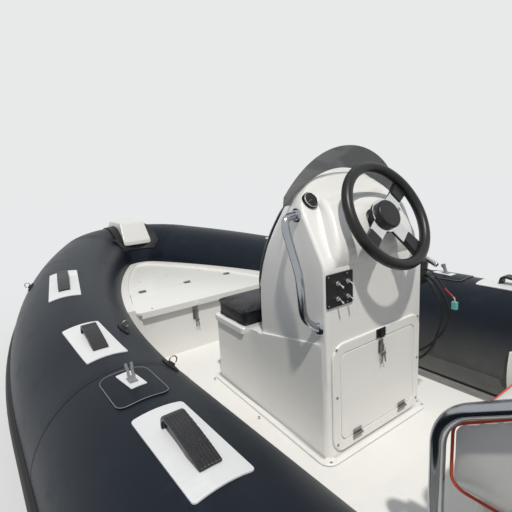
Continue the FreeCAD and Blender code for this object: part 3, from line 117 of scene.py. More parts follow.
class Wire:
    """A shader socket that takes part in Python sums."""

    def __init__(self, finish, socket):
        self.finish = finish
        self.socket = socket

    def sum_with(self, operation, first, second):
        return self.finish.node("ShaderNodeMath", {"operation": operation}, {0: first, 1: second})

    def __add__(self, other):
        return self.sum_with("ADD", self, other)

    def __radd__(self, other):
        return self.sum_with("ADD", other, self)

    def __sub__(self, other):
        return self.sum_with("SUBTRACT", self, other)

    def __rsub__(self, other):
        return self.sum_with("SUBTRACT", other, self)

    def __mul__(self, other):
        return self.sum_with("MULTIPLY", self, other)

    def __rmul__(self, other):
        return self.sum_with("MULTIPLY", other, self)

    def stretched(self, low, high):
        """0 at low and 1 at high, held at both ends."""
        return self.finish.node(
            "ShaderNodeMapRange", {"clamp": True, "interpolation_type": "SMOOTHSTEP"},
            {"Value": self, "From Min": low, "From Max": high})


class Finish:
    """A material made from code."""

    def __init__(self, name, colour, roughness, **fixed):
        self.material = bpy.data.materials.new(name)
        self.material.use_nodes = True
        self.tree = self.material.node_tree
        self.shader = self.tree.nodes["Principled BSDF"]
        self.set("Base Color", colour)
        self.set("Roughness", roughness)
        for socket, value in fixed.items():
            self.shader.inputs[socket.replace("_", " ")].default_value = value
        self.points = Wire(self, self.tree.nodes.new("ShaderNodeTexCoord").outputs["Object"])

    def feed(self, socket, value):
        if isinstance(value, Wire):
            self.tree.links.new(value.socket, socket)
        elif hasattr(value, "__len__") and len(value) == 3 and socket.type == "RGBA":
            socket.default_value = (*value, 1)
        else:
            socket.default_value = value

    def set(self, socket, value):
        self.feed(self.shader.inputs[socket], value)

    def node(self, kind, settings, inputs, output=0):
        made = self.tree.nodes.new(kind)
        for setting, value in settings.items():
            setattr(made, setting, value)
        for socket, value in inputs.items():
            self.feed(made.inputs[socket], value)
        return Wire(self, made.outputs[output])

    def noise(self, scale, detail=2.0, roughness=0.5, points=None):
        return self.node("ShaderNodeTexNoise", {}, {
            "Vector": points or self.points, "Scale": scale, "Detail": detail,
            "Roughness": roughness})

    def cells(self, scale, feature="F1"):
        return self.node("ShaderNodeTexVoronoi", {"feature": feature}, {
            "Vector": self.points, "Scale": scale})

    def stripes(self, scale, axis):
        return self.node("ShaderNodeTexWave", {"bands_direction": axis, "wave_profile": "SIN"}, {
            "Vector": self.points, "Scale": scale})

    def mixed(self, factor, first, second):
        return self.node("ShaderNodeMix", {"data_type": "RGBA"}, {0: factor, 6: first, 7: second},
                         output=2)

    def axis(self, letter):
        return self.node("ShaderNodeSeparateXYZ", {}, {0: self.points}, "XYZ".index(letter))

    def relief(self, height, depth, strength=1.0):
        """Bump from a height between 0 and 1; depth is in metres."""
        self.set("Normal", self.node("ShaderNodeBump", {}, {
            "Strength": strength, "Distance": depth, "Height": height}))


def tint(colour, amount):
    return tuple(min(1, c * amount) for c in colour)


# Painted reflection of the white deck on the chambers' inner flanks, growing lighter towards their
# foot: where it spans from above down, and from outboard inwards
PAINTED_SHEEN_HEIGHTS = (0.44, 0.17)
PAINTED_SHEEN_WIDTHS = (0.74, 0.56)
PAINTED_SHEEN_COLOUR = (0.150, 0.150, 0.141)


def chamber_fabric(name, colour, shine, painted_deck_sheen=False):
    """Satin coated fabric with a fine cloth ground, scuffs and dust, and if asked a painted
    reflection of the deck low on the inner flanks.
    """
    finish = Finish(name, colour, 0.42, IOR=1.5, Specular_IOR_Level=shine,
                    Specular_Tint=(0.82, 0.91, 1.0, 1))
    broad = finish.noise(1.7, detail=3)
    dust = finish.noise(9, detail=6, roughness=0.7).stretched(0.52, 0.78)
    scuff = finish.noise(34, detail=5, roughness=0.75).stretched(0.62, 0.72)
    marks = dust * 0.35 + scuff * 0.22
    ground = finish.mixed(broad, tint(colour, 0.8), tint(colour, 1.25))
    cloth = finish.mixed(marks, ground, tint(colour, 3.2))
    if painted_deck_sheen:
        # Painted reflection: a warm grey glow low on the inner flanks that stands in for the deck
        # mirrored in the fabric
        across = finish.node("ShaderNodeMath", {"operation": "ABSOLUTE"}, {0: finish.axis("Y")})
        painted_sheen_mask = finish.axis("Z").stretched(*PAINTED_SHEEN_HEIGHTS) * across.stretched(*PAINTED_SHEEN_WIDTHS)
        patchy = 0.45 + finish.noise(7, detail=5, roughness=0.7) * 0.7
        cloth = finish.mixed(painted_sheen_mask * patchy, cloth, PAINTED_SHEEN_COLOUR)
    finish.set("Base Color", cloth)
    finish.set("Roughness", 0.34 + dust * 0.14 + broad * 0.08)
    weave = finish.stripes(520, "X") * 0.5 + finish.stripes(520, "Z") * 0.5
    finish.relief(weave * 0.25 + finish.noise(160, detail=3) * 0.75, depth=0.0006, strength=0.35)
    return finish.material


def gelcoat(name, colour, grip=False):
    """Polished moulding with a faint ripple, fine specks and a little grime."""
    finish = Finish(name, colour, 0.24, Coat_Weight=0.25, Coat_Roughness=0.18, IOR=1.5)
    grime = finish.noise(5, detail=6, roughness=0.7).stretched(0.5, 0.85)
    specks = finish.noise(420, detail=2).stretched(0.70, 0.76)
    finish.set("Base Color", finish.mixed(grime * 0.30 + specks * 0.25, colour, tint(colour, 0.72)))
    finish.set("Roughness", 0.28 + grime * 0.2)
    ripple = finish.noise(6, detail=2) * 0.7 + finish.noise(260, detail=2) * 0.02
    if grip:
        ripple = ripple + finish.cells(230).stretched(0.0, 0.5) * 0.35
        finish.set("Roughness", 0.5 + grime * 0.2)
    finish.relief(ripple, depth=0.0012, strength=0.35)
    return finish.material


def rubber(name, colour):
    """Matte moulded rubber."""
    finish = Finish(name, colour, 0.48, Specular_IOR_Level=0.3)
    bloom = finish.noise(30, detail=5, roughness=0.7)
    worn = bloom.stretched(0.45, 0.8) * 0.4
    finish.set("Base Color", finish.mixed(worn, colour, tint(colour, 2.4)))
    finish.set("Roughness", 0.46 + bloom * 0.2)
    finish.relief(finish.noise(900, detail=2), depth=0.0003, strength=0.5)
    return finish.material


def ribbed_rubber(name, colour):
    """Dusty rubber with ribs along the boat."""
    finish = Finish(name, colour, 0.5)
    dust = finish.noise(14, detail=5, roughness=0.7).stretched(0.4, 0.75)
    finish.set("Base Color", finish.mixed(dust * 0.5, colour, tint(colour, 1.7)))
    finish.relief(finish.stripes(56, "Y"), depth=0.0016, strength=0.8)
    return finish.material


def handle_rubber(name, colour):
    """Glossy strap rubber with ribs along the handle."""
    finish = Finish(name, colour, 0.30, Specular_IOR_Level=0.5)
    ribs = finish.stripes(44, "Y")
    worn = finish.noise(40, detail=5, roughness=0.7).stretched(0.45, 0.8)
    finish.set("Base Color", finish.mixed(worn * 0.4, colour, tint(colour, 2.6)))
    finish.set("Roughness", 0.26 + worn * 0.2)
    finish.relief(ribs, depth=0.0016, strength=0.9)
    return finish.material


def steel(name, colour, roughness, brushed):
    """Stainless steel, brushed or polished."""
    finish = Finish(name, colour, roughness, Metallic=1.0)
    smear = finish.noise(40, detail=4, roughness=0.6)
    finish.set("Roughness", roughness + smear * 0.12)
    if brushed:
        streaks = finish.noise(90, detail=2, points=finish.node(
            "ShaderNodeMapping", {}, {"Vector": finish.points, "Scale": (1, 18, 1)}))
        finish.relief(streaks, depth=0.0002, strength=0.4)
    dull = smear.stretched(0.4, 0.9) * 0.3
    finish.set("Base Color", finish.mixed(dull, colour, tint(colour, 0.7)))
    return finish.material


def plastic(name, colour, roughness=0.42):
    """Moulded plastic with a spark-eroded grain."""
    finish = Finish(name, colour, roughness, Specular_IOR_Level=0.35)
    worn = finish.noise(22, detail=4, roughness=0.7)
    pale = worn.stretched(0.45, 0.85) * 0.4
    finish.set("Base Color", finish.mixed(pale, colour, tint(colour, 1.9)))
    finish.set("Roughness", roughness - 0.05 + worn * 0.12)
    finish.relief(finish.noise(1400, detail=2), depth=0.0002, strength=0.4)
    return finish.material


def vinyl(name, colour, dirt, shine=0.5):
    """Upholstery vinyl with a leather grain."""
    finish = Finish(name, colour, 0.38, Coat_Weight=0.2 * shine, Coat_Roughness=0.25,
                    Specular_IOR_Level=shine)
    grain = finish.cells(520, "DISTANCE_TO_EDGE").stretched(0.0, 0.14)
    worn = finish.noise(12, detail=5, roughness=0.7).stretched(0.45, 0.85)
    finish.set("Base Color", finish.mixed(worn * 0.35, colour, tint(colour, dirt)))
    finish.set("Roughness", 0.34 + worn * 0.14)
    finish.relief(grain * 0.8 + finish.noise(60, detail=3) * 0.5, depth=0.0005, strength=0.45)
    return finish.material


# Heights below which the wiring tail loses its dark loom, and then its colour
WIRE_BARE_BELOW = 0.600
WIRE_PALE_BELOW = 0.570
WIRE_EDGE = 0.002


def taped_wire(name, colour):
    """A dark loom above, bare coloured wire lower down and a pale end."""
    finish = Finish(name, colour, 0.42)
    height = finish.axis("Z")
    pale = height.stretched(WIRE_PALE_BELOW + WIRE_EDGE, WIRE_PALE_BELOW - WIRE_EDGE)
    loom = height.stretched(WIRE_BARE_BELOW - WIRE_EDGE, WIRE_BARE_BELOW + WIRE_EDGE)
    bare = finish.mixed(pale, colour, (0.62, 0.42, 0.42))
    finish.set("Base Color", finish.mixed(loom, bare, (0.012, 0.012, 0.013)))
    finish.set("Roughness", 0.36 + finish.noise(60, detail=3) * 0.14)
    return finish.material


def smoked_acrylic(name):
    """Dark see-through sheet."""
    finish = Finish(name, (0.022, 0.024, 0.024), 0.06, IOR=1.49, Alpha=0.67)
    finish.set("Roughness", 0.05 + finish.noise(8, detail=5, roughness=0.7) * 0.02)
    finish.material.surface_render_method = "DITHERED"
    return finish.material


class Palette:
    """The boat's materials, made once."""
    made = {}

    @classmethod
    def get(cls, key):
        if not cls.made:
            colours = bpy.context.scene.rib_finishes
            chamber = tuple(colours.chamber)
            white = tuple(colours.gelcoat)
            cls.made = {
                # The side chambers carry a painted reflection of the deck on their inner flanks
                "chamber_fabric": chamber_fabric("chamber_fabric", chamber, 0.13, painted_deck_sheen=True),
                "navy_patch": chamber_fabric("navy_patch", tint(chamber, 0.8), 0.12),
                "white_gelcoat": gelcoat("white_gelcoat", white),
                "deck_gelcoat": gelcoat("deck_gelcoat", white, grip=True),
                "hull_gelcoat": gelcoat("hull_gelcoat", white),
                "step_gelcoat": gelcoat("step_gelcoat", tint(white, 0.84)),
                "patch_fabric": chamber_fabric("patch_fabric", tuple(colours.patch), 0.4),
                "black_rubber": rubber("black_rubber", (0.010, 0.010, 0.011)),
                "grey_rubber": ribbed_rubber("grey_rubber", (0.18, 0.176, 0.170)),
                "handle_rubber": handle_rubber("handle_rubber", (0.010, 0.010, 0.012)),
                "stainless": steel("stainless", (0.33, 0.325, 0.315), 0.28, True),
                "polished_tube": steel("polished_tube", (0.38, 0.40, 0.43), 0.09, False),
                "bright_chrome": steel("bright_chrome", (0.76, 0.76, 0.76), 0.05, False),
                "wheel_grip": plastic("wheel_grip", (0.010, 0.010, 0.011), 0.34),
                "black_plastic": plastic("black_plastic", (0.010, 0.010, 0.011)),
                "grey_plastic": plastic("grey_plastic", (0.20, 0.21, 0.22)),
                "smoked_acrylic": smoked_acrylic("smoked_acrylic"),
                "black_vinyl": vinyl("black_vinyl", tuple(colours.dark_vinyl), 1.8, 0.25),
                "white_vinyl": vinyl("white_vinyl", tuple(colours.pale_vinyl), 0.8),
                "red_piping": plastic("red_piping", tuple(colours.piping), 0.4),
                "red_wire": taped_wire("red_wire", (0.48, 0.03, 0.02)),
                "teal_plastic": plastic("teal_plastic", (0.14, 0.46, 0.42), 0.35),
            }
        return cls.made[key]


# Mesh helpers

# Folds up to these angles are shaded smooth on rigid pieces and on soft or rounded ones
FIRM = math.radians(35)
SOFT = math.radians(80)


def smooth(mesh, angle=FIRM):
    """Shades a mesh smooth, but for edges sharper than an angle."""
    mesh.polygons.foreach_set("use_smooth", [True] * len(mesh.polygons))
    mesh.set_sharp_from_angle(angle=angle)


def placed(name, data):
    """A new object in the scene, at the origin."""
    made = bpy.data.objects.new(name, data)
    bpy.context.scene.collection.objects.link(made)
    return made


def welded(mesh):
    """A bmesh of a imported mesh, with its loose triangles joined."""
    bm = bmesh.new()
    bm.from_mesh(mesh)
    bmesh.ops.remove_doubles(bm, verts=bm.verts, dist=WELD)
    return bm


def relaxed(bm, verts, turns):
    """Smooths some of a bmesh's vertices a number of times."""
    for turn in range(turns):
        bmesh.ops.smooth_vert(bm, verts=verts, factor=0.5,
                              use_axis_x=True, use_axis_y=True, use_axis_z=True)


def even_normals(piece):
    """Shades wide faces flat where they meet a narrow rounding."""
    piece.modifiers.new("Normals", "WEIGHTED_NORMAL").keep_sharp = True


def piece_from(bm, name, material, body="boat", angle=FIRM):
    """Turns a bmesh into a finished piece that rides on a body."""
    bmesh.ops.recalc_face_normals(bm, faces=bm.faces)
    mesh = bpy.data.meshes.new(name)
    bm.to_mesh(mesh)
    bm.free()
    piece = placed(name, mesh)
    mesh.materials.append(Palette.get(material))
    smooth(mesh, angle)
    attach(piece, body)
    return piece


def make_cord(name, points, radius, material):
    """A smooth curve with round section along a route."""
    curve = bpy.data.curves.new(name, "CURVE")
    curve.dimensions = "3D"
    curve.bevel_depth = radius
    curve.bevel_resolution = 5
    curve.resolution_u = 10
    spline = curve.splines.new("NURBS")
    spline.points.add(len(points) - 1)
    for target, point in zip(spline.points, points):
        target.co = (*point, 1)
    spline.order_u = 3
    spline.use_endpoint_u = True
    cord = placed(name, curve)
    curve.materials.append(Palette.get(material))
    return cord


def bake(piece):
    """Applies every modifier of a piece to its mesh."""
    graph = bpy.context.evaluated_depsgraph_get()
    mesh = bpy.data.meshes.new_from_object(piece.evaluated_get(graph))
    piece.modifiers.clear()
    piece.data = mesh


def copy_of(node, name, material, body="boat"):
    """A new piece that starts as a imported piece's mesh and stands for it."""
    piece = placed(name, NODES[node].data.copy())
    piece.data.materials.clear()
    piece.data.materials.append(Palette.get(material))
    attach(piece, body)
    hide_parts(node)
    return piece


# Folds of a packed moulding: over the first its edges are rounded, under the second its faces are
# one, and up to the third the rounded piece is shaded smooth
SHARP = math.radians(30)
FLAT = math.radians(1)
ROUNDED_FOLD = math.radians(40)


def softened(node, width, material, body="boat"):
    """A packed moulding with its sharp edges rounded."""
    piece = copy_of(node, node + "_soft", material, body)
    bm = welded(piece.data)
    bmesh.ops.dissolve_limit(bm, angle_limit=FLAT, verts=bm.verts, edges=bm.edges)
    sharp = [e for e in bm.edges if len(e.link_faces) == 2 and e.calc_face_angle(0) > SHARP]
    bmesh.ops.bevel(bm, geom=sharp, offset=width, offset_type="OFFSET", segments=3, profile=0.5,
                    affect="EDGES", clamp_overlap=True, material=-1)
    bmesh.ops.triangulate(bm, faces=[f for f in bm.faces if len(f.verts) > 4])
    bm.to_mesh(piece.data)
    bm.free()
    smooth(piece.data, ROUNDED_FOLD)
    even_normals(piece)


# How the creases of the console's shell are rounded: the fold that counts as a crease, in radians,
# how far round it the mesh is cut fine, the edge length there, and how often it is smoothed
CREASE = 0.3
CREASE_REACH = 0.014
CREASE_CELL = 0.006
CREASE_TURNS = 14
CUTS_AT_MOST = 7


def eased(piece, crease):
    """Rounds the creases whose edges pass a test: their surroundings are cut fine and smoothed."""
    bm = welded(piece.data)
    spots = []
    for edge in bm.edges:
        a, b = (v.co for v in edge.verts)
        if len(edge.link_faces) == 2 and edge.calc_face_angle(0) > CREASE and crease((a + b) / 2):
            count = max(1, int((b - a).length / (CREASE_CELL / 2)))
            spots += [a.lerp(b, i / count) for i in range(count + 1)]
    tree = KDTree(len(spots))
    for number, spot in enumerate(spots):
        tree.insert(spot, number)
    tree.balance()

    def close(co, span):
        return tree.find(co)[2] < span

    def too_long(edge):
        length = edge.calc_length()
        middle = (edge.verts[0].co + edge.verts[1].co) / 2
        return length > CREASE_CELL * 1.4 and close(middle, CREASE_REACH + length / 2)

    for turn in range(CUTS_AT_MOST):
        long = [e for e in bm.edges if too_long(e)]
        if not long:
            break
        bmesh.ops.subdivide_edges(bm, edges=long, cuts=1, use_grid_fill=True)
        bmesh.ops.triangulate(bm, faces=[f for f in bm.faces if len(f.verts) > 4])
    relaxed(bm, [v for v in bm.verts if close(v.co, CREASE_REACH)], CREASE_TURNS)
    bm.to_mesh(piece.data)
    bm.free()
    smooth(piece.data)
    even_normals(piece)


def moulded(node, voxel, turns, material, slot):
    """A small packed moulding rebuilt with round edges all over."""
    piece = copy_of(node, node + "_round", material)
    remesh = piece.modifiers.new("Remesh", "REMESH")
    remesh.mode = "VOXEL"
    remesh.voxel_size = voxel
    ease = piece.modifiers.new("Smooth", "SMOOTH")
    ease.factor = 0.5
    ease.iterations = turns
    bake(piece)
    smooth(piece.data, SOFT)


def lengthened(mesh, gain):
    """Draws a mesh's forward half out by a gain in metres."""
    along = [v.co.x for v in mesh.vertices]
    middle, front = (min(along) + max(along)) / 2, max(along)
    for vert in mesh.vertices:
        vert.co.x += gain * max(0, (vert.co.x - middle) / (front - middle))


CLOTH_FRAMES = 20
# How far a point of a cover may move, in metres
SWELL_AT_MOST = 0.012


def swelled(piece, fixed, pressure):
    """Blows a cover up as cloth that is held at some vertices, and limits how far a point moves."""
    scene = bpy.context.scene
    piece.vertex_groups.new(name="held").add(fixed, 1, "REPLACE")
    cloth = piece.modifiers.new("Cloth", "CLOTH")
    cloth.settings.vertex_group_mass = "held"
    cloth.settings.use_pressure = True
    cloth.settings.uniform_pressure_force = pressure
    cloth.settings.effector_weights.gravity = 0
    cloth.point_cache.frame_start = 1
    cloth.point_cache.frame_end = CLOTH_FRAMES
    start = [v.co.copy() for v in piece.data.vertices]
    for number in range(CLOTH_FRAMES):
        scene.frame_set(1 + number)
    bake(piece)
    for vert, old in zip(piece.data.vertices, start):
        move = vert.co - old
        if move.length > SWELL_AT_MOST:
            vert.co = old + move.normalized() * SWELL_AT_MOST
    scene.frame_set(1)
    piece.vertex_groups.clear()


def stuffed(node, material, body, held, inset=0.006, voxel=0.006, pressure=4.0, gain=0.0):
    """A padded cover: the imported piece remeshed, drawn in, then swelled between its held seams."""
    piece = copy_of(node, node + "_cover", material, body)
    lengthened(piece.data, gain)
    remesh = piece.modifiers.new("Remesh", "REMESH")
    remesh.mode = "VOXEL"
    remesh.voxel_size = voxel
    bake(piece)
    bm = bmesh.new()
    bm.from_mesh(piece.data)
    loose = [v for v in bm.verts if not held(v.co, v.normal)]
    relaxed(bm, loose, 2)
    bm.normal_update()
    for vert in loose:
        vert.co -= vert.normal * inset
    fixed = sorted(set(range(len(bm.verts))) - {v.index for v in loose})
    bm.to_mesh(piece.data)
    bm.free()
    swelled(piece, fixed, pressure)
    rounding = piece.modifiers.new("Subdivision", "SUBSURF")
    rounding.levels = rounding.render_levels = 1
    smooth(piece.data, SOFT)
    return piece


def belts(mesh, spot, normal):
    """The closed lines where a plane cuts a mesh, as lists of points."""
    bm = welded(mesh)
    bmesh.ops.bisect_plane(bm, geom=bm.verts[:] + bm.edges[:] + bm.faces[:], plane_co=spot,
                           plane_no=normal, clear_inner=True, clear_outer=True)
    lines, seen = [], set()
    for first in bm.verts:
        if first in seen or not first.link_edges:
            continue
        line, here = [], first
        while here:
            seen.add(here)
            line.append(here.co.copy())
            onward = [e.other_vert(here) for e in here.link_edges]
            here = next((v for v in onward if v not in seen), None)
        if len(line) > 3:
            lines.append(line)
    bm.free()
    return sorted(lines, key=perimeter, reverse=True)


# The fold, in radians, of a plate's rim
RIM = 0.9


def rims(mesh):
    """The sharp upper outlines of thin plates, as closed lines."""
    bm = welded(mesh)
    kept = dict.fromkeys(e for e in bm.edges if len(e.link_faces) == 2
                         and e.calc_face_angle(0) > RIM
                         and max(f.normal.z for f in e.link_faces) > 0.5)
    lines = []
    while kept:
        first = next(iter(kept))
        del kept[first]
        line, here = [first.verts[0].co.copy()], first.verts[1]
        while here:
            line.append(here.co.copy())
            onward = next((e for e in here.link_edges if e in kept), None)
            kept.pop(onward, None)
            here = onward and onward.other_vert(here)
        lines.append(line[:-1] if (line[0] - line[-1]).length < 1e-4 else line)
    bm.free()
    return [line for line in lines if len(line) > 8]


def perimeter(line):
    """The length of a line of points."""
    return sum((b - a).length for a, b in zip(line, line[1:]))


def spaced(line, step):
    """Points along a closed line at even distances."""
    total = perimeter(line + line[:1])
    count = max(8, round(total / step))
    step, points, along = total / count, [], 0.0
    for a, b in zip(line, line[1:] + line[:1]):
        length = (b - a).length
        while len(points) < count and step * len(points) <= along + length + 1e-9:
            points.append(a.lerp(b, (step * len(points) - along) / length if length else 0))
        along += length
    return points


def welt(name, lines, radius, material, body="boat", step=0.012):
    """Round piping along closed lines."""
    curve = bpy.data.curves.new(name, "CURVE")
    curve.dimensions = "3D"
    curve.bevel_depth = radius
    curve.bevel_resolution = 3
    curve.resolution_u = 3
    for line in lines:
        points = spaced(line, step)
        spline = curve.splines.new("NURBS")
        spline.points.add(len(points) - 1)
        for target, point in zip(spline.points, points):
            target.co = (*point, 1)
        spline.use_cyclic_u = True
        spline.order_u = 4
    piece = placed(name, curve)
    curve.materials.append(Palette.get(material))
    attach(piece, body)


TAPE_FOLD = math.radians(60)


def tape(name, node, spots, width, proud):
    """Dark strips glued round a chamber where each plane cuts it."""
    whole = bmesh.new()
    for spot, normal in spots:
        bm = welded(NODES[node].data)
        bm.normal_update()
        for side in (1, -1):
            bmesh.ops.bisect_plane(bm, geom=bm.verts[:] + bm.edges[:] + bm.faces[:],
                                   plane_co=spot + normal * side * width / 2,
                                   plane_no=normal * side, clear_outer=True)
        bmesh.ops.recalc_face_normals(bm, faces=bm.faces)
        for vert in bm.verts:
            vert.co += vert.normal * proud
        shell = bpy.data.meshes.new("strip")
        bm.to_mesh(shell)
        bm.free()
        whole.from_mesh(shell)
    piece_from(whole, name, "navy_patch", angle=TAPE_FOLD)


# Operators

# The view solved from the photograph
VIEW_PLACE = (0.6791, 1.0269, 1.0164)
VIEW_RIGHT = Vector((-0.5902, -0.8052, -0.0553))
VIEW_UP = Vector((0.1253, -0.1590, 0.9792))
VIEW_AHEAD = Vector((0.7973, -0.5711, -0.1948))
SENSOR_WIDTH = 36
SUN_TOWARDS = Vector((-0.49, 0.25, 1.00))
FLOOR_REACH = 60


class RIB_OT_stage(bpy.types.Operator):
    """Adds the camera, the floor at the waterline and the lights"""
    bl_idname = "rib.stage"
    bl_label = "Stage"

    def execute(self, context):
        settings = context.scene.rib_stage
        context.scene.view_settings.view_transform = "Standard"
        context.scene.camera = self.camera(settings)
        self.floor(settings)
        self.sun(settings)
        context.scene.world = self.sky(settings)
        return {"FINISHED"}

    def camera(self, settings):
        lens = bpy.data.cameras.new("view")
        lens.lens = settings.lens
        lens.sensor_width = SENSOR_WIDTH
        lens.clip_end = 100
        camera = placed("view", lens)
        turn = Matrix((VIEW_RIGHT, VIEW_UP, -VIEW_AHEAD)).transposed().to_4x4()
        camera.matrix_world = Matrix.Translation(VIEW_PLACE) @ turn
        return camera

    def floor(self, settings):
        bm = bmesh.new()
        bmesh.ops.create_grid(bm, x_segments=1, y_segments=1, size=FLOOR_REACH)
        mesh = bpy.data.meshes.new("floor")
        bm.to_mesh(mesh)
        bm.free()
        floor = placed("floor", mesh)
        finish = Finish("floor", tuple(settings.floor), 0.9, Specular_IOR_Level=0.0)
        mesh.materials.append(finish.material)

    def sun(self, settings):
        sun = bpy.data.lights.new("sun", "SUN")
        sun.energy = settings.sun_strength
        sun.angle = settings.sun_softness
        sun.color = settings.sun_colour
        placed("sun", sun).rotation_euler = SUN_TOWARDS.to_track_quat("Z", "Y").to_euler()

    def sky(self, settings):
        """Soft light on the boat, and the plain backdrop for what looks at it or mirrors it."""
        world = bpy.data.worlds.new("sky")
        world.use_nodes = True
        tree = world.node_tree
        sky = tree.nodes["Background"]
        sky.inputs["Color"].default_value = (*settings.sky_colour, 1)
        sky.inputs["Strength"].default_value = settings.sky_strength
        backdrop = tree.nodes.new("ShaderNodeBackground")
        backdrop.inputs["Color"].default_value = (*settings.backdrop, 1)
        backdrop.inputs["Strength"].default_value = 1.0
        rays = tree.nodes.new("ShaderNodeLightPath")
        seen = rays.outputs["Is Camera Ray"]
        for other in ("Is Glossy Ray", "Is Transmission Ray"):
            either = tree.nodes.new("ShaderNodeMath")
            either.operation = "MAXIMUM"
            tree.links.new(seen, either.inputs[0])
            tree.links.new(rays.outputs[other], either.inputs[1])
            seen = either.outputs[0]
        blend = tree.nodes.new("ShaderNodeMixShader")
        tree.links.new(seen, blend.inputs["Fac"])
        tree.links.new(sky.outputs[0], blend.inputs[1])
        tree.links.new(backdrop.outputs[0], blend.inputs[2])
        tree.links.new(blend.outputs[0], tree.nodes["World Output"].inputs["Surface"])
        return world


CABLE_THICKNESS = 0.010
WIRE_THICKNESS = 0.005
# Routes of the cords, from the console's aft face, its middle and the cockpit floor
CABLE_ROUTES = {
    "control_cable_1": [
        (0.0002, -0.262, 0.492), (-0.018, -0.262, 0.492), (-0.044, -0.268, 0.458),
        (-0.064, -0.28, 0.414), (-0.072, -0.29, 0.366), (-0.066, -0.297, 0.32),
        (-0.046, -0.298, 0.278), (-0.02, -0.295, 0.24), (0.01, -0.285, 0.208),
        (0.04, -0.268, 0.188), (0.066, -0.246, 0.178)],
    "control_cable_2": [
        (0.0002, -0.262, 0.474), (-0.014, -0.262, 0.474), (-0.036, -0.26, 0.438),
        (-0.05, -0.266, 0.404), (-0.054, -0.276, 0.362), (-0.05, -0.28, 0.318),
        (-0.036, -0.28, 0.27), (-0.022, -0.278, 0.222), (0.004, -0.272, 0.182),
        (0.044, -0.256, 0.158), (0.084, -0.238, 0.146)],
}
WIRE_ROUTE = [
    (0.0002, -0.266, 0.512), (-0.014, -0.266, 0.512), (-0.03, -0.277, 0.49),
    (-0.044, -0.288, 0.464), (-0.058, -0.296, 0.44), (-0.07, -0.301, 0.427),
    (-0.08, -0.303, 0.419), (-0.084, -0.304, 0.411), (-0.084, -0.304, 0.403)]


def route_length(cord):
    """The length of a curve's own line, read from a copy with no section."""
    curve = cord.data.copy()
    curve.bevel_depth = 0
    mesh = bpy.data.meshes.new_from_object(bpy.data.objects.new(cord.name + "_line", curve))
    return perimeter([v.co for v in mesh.vertices])


class RIB_OT_cables(bpy.types.Operator):
    """Lays the engine control cables and the wiring tail beside the console"""
    bl_idname = "rib.cables"
    bl_label = "Control cables"

    def execute(self, context):
        for name, route in CABLE_ROUTES.items():
            points = [at_console(*p) for p in route]
            cable = make_cord(name + "_sheath", points, CABLE_THICKNESS / 2, "black_plastic")
            length = route_length(cable)
            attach(cable, "boat")
            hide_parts(name)
        points = [at_console(*p) for p in WIRE_ROUTE]
        wire = make_cord("wiring_lead", points, WIRE_THICKNESS / 2, "red_wire")
        length = route_length(wire)
        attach(wire, "boat")
        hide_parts("wiring_tail")
        return {"FINISHED"}


# What is beveled: node, rounding in metres, body
MOULDINGS = (
    ("door_frame", 0.002, "boat"),
    ("console_door", 0.002, "door"),
    ("bow_locker", 0.005, "boat"),
    ("locker_lid", 0.003, "locker_cover"),
    ("helm_seat_box", 0.004, "boat"),
    ("transom", 0.005, "boat"),
)
# What is rounded all over: node, voxel in metres, smoothing turns, material, slot
ROUNDED = (
    ("port_handles", 0.0024, 8, "handle_rubber", "black_rubber"),
    ("starboard_handles", 0.0024, 8, "handle_rubber", "black_rubber"),
    ("bow_step", 0.0034, 8, "step_gelcoat", "white_gelcoat"),
    ("strap_cleats", 0.0012, 3, "grey_plastic", "grey_plastic"),
    ("control_box", 0.002, 4, "black_plastic", "black_plastic"),
    ("lashing_pads", 0.0028, 3, "black_rubber", "black_rubber"),
)


def console_crease(co):
    """Whether a point is at the shoulder of the console's base or on the bulge under the wheel."""
    across = abs(co.y - CONSOLE_Y)
    shoulder = co.x < 1.80 and across > 0.195 and 0.44 < co.z < 0.56
    bulge = co.x < 1.62 and across < 0.222 and 0.735 < co.z < 0.99
    return shoulder or bulge


class RIB_OT_mouldings(bpy.types.Operator):
    """Rounds the sharp edges of the rigid mouldings"""
    bl_idname = "rib.mouldings"
    bl_label = "Mouldings"

    def execute(self, context):
        eased(copy_of("console", "console_shell", "white_gelcoat"), console_crease)
        for node, width, body in MOULDINGS:
            softened(node, width, "white_gelcoat", body)
        for entry in ROUNDED:
            moulded(*entry)
        return {"FINISHED"}


# Heights of each lying cushion's foot and seam, the place of the helm backrest's seam along the
# boat, and for the bolsters, from the middle out, their back, their piping and their seam
FRONT_CUSHION = (0.450, 0.502)
HELM_CUSHION = (0.496, 0.553)
REST_SEAM = 0.526
BOLSTER_BACK = 0.312
BOLSTER_PIPING = 0.329
BOLSTER_SEAM = 0.330
# How far the bolsters' covers reach forward past their solids, to the hoop
BOLSTER_GAIN = 0.012
WELT_RADIUS = 0.0028
PIPING_RADIUS = 0.0032


def lying_held(foot, seam):
    """The test for the points that stay put in a lying cushion."""
    return lambda co, normal: co.z < foot or (abs(co.z - seam) < 0.004 and normal.z < 0.7)


def helm_rest_held(co, normal):
    return normal.x < -0.8 or (abs(co.x - REST_SEAM) < 0.004 and abs(normal.x) < 0.8)


def bolster_held(co, normal):
    at_seam = abs(abs(co.y) - BOLSTER_SEAM) < 0.003
    return abs(co.y) < BOLSTER_BACK or (at_seam and abs(normal.y) < 0.8)


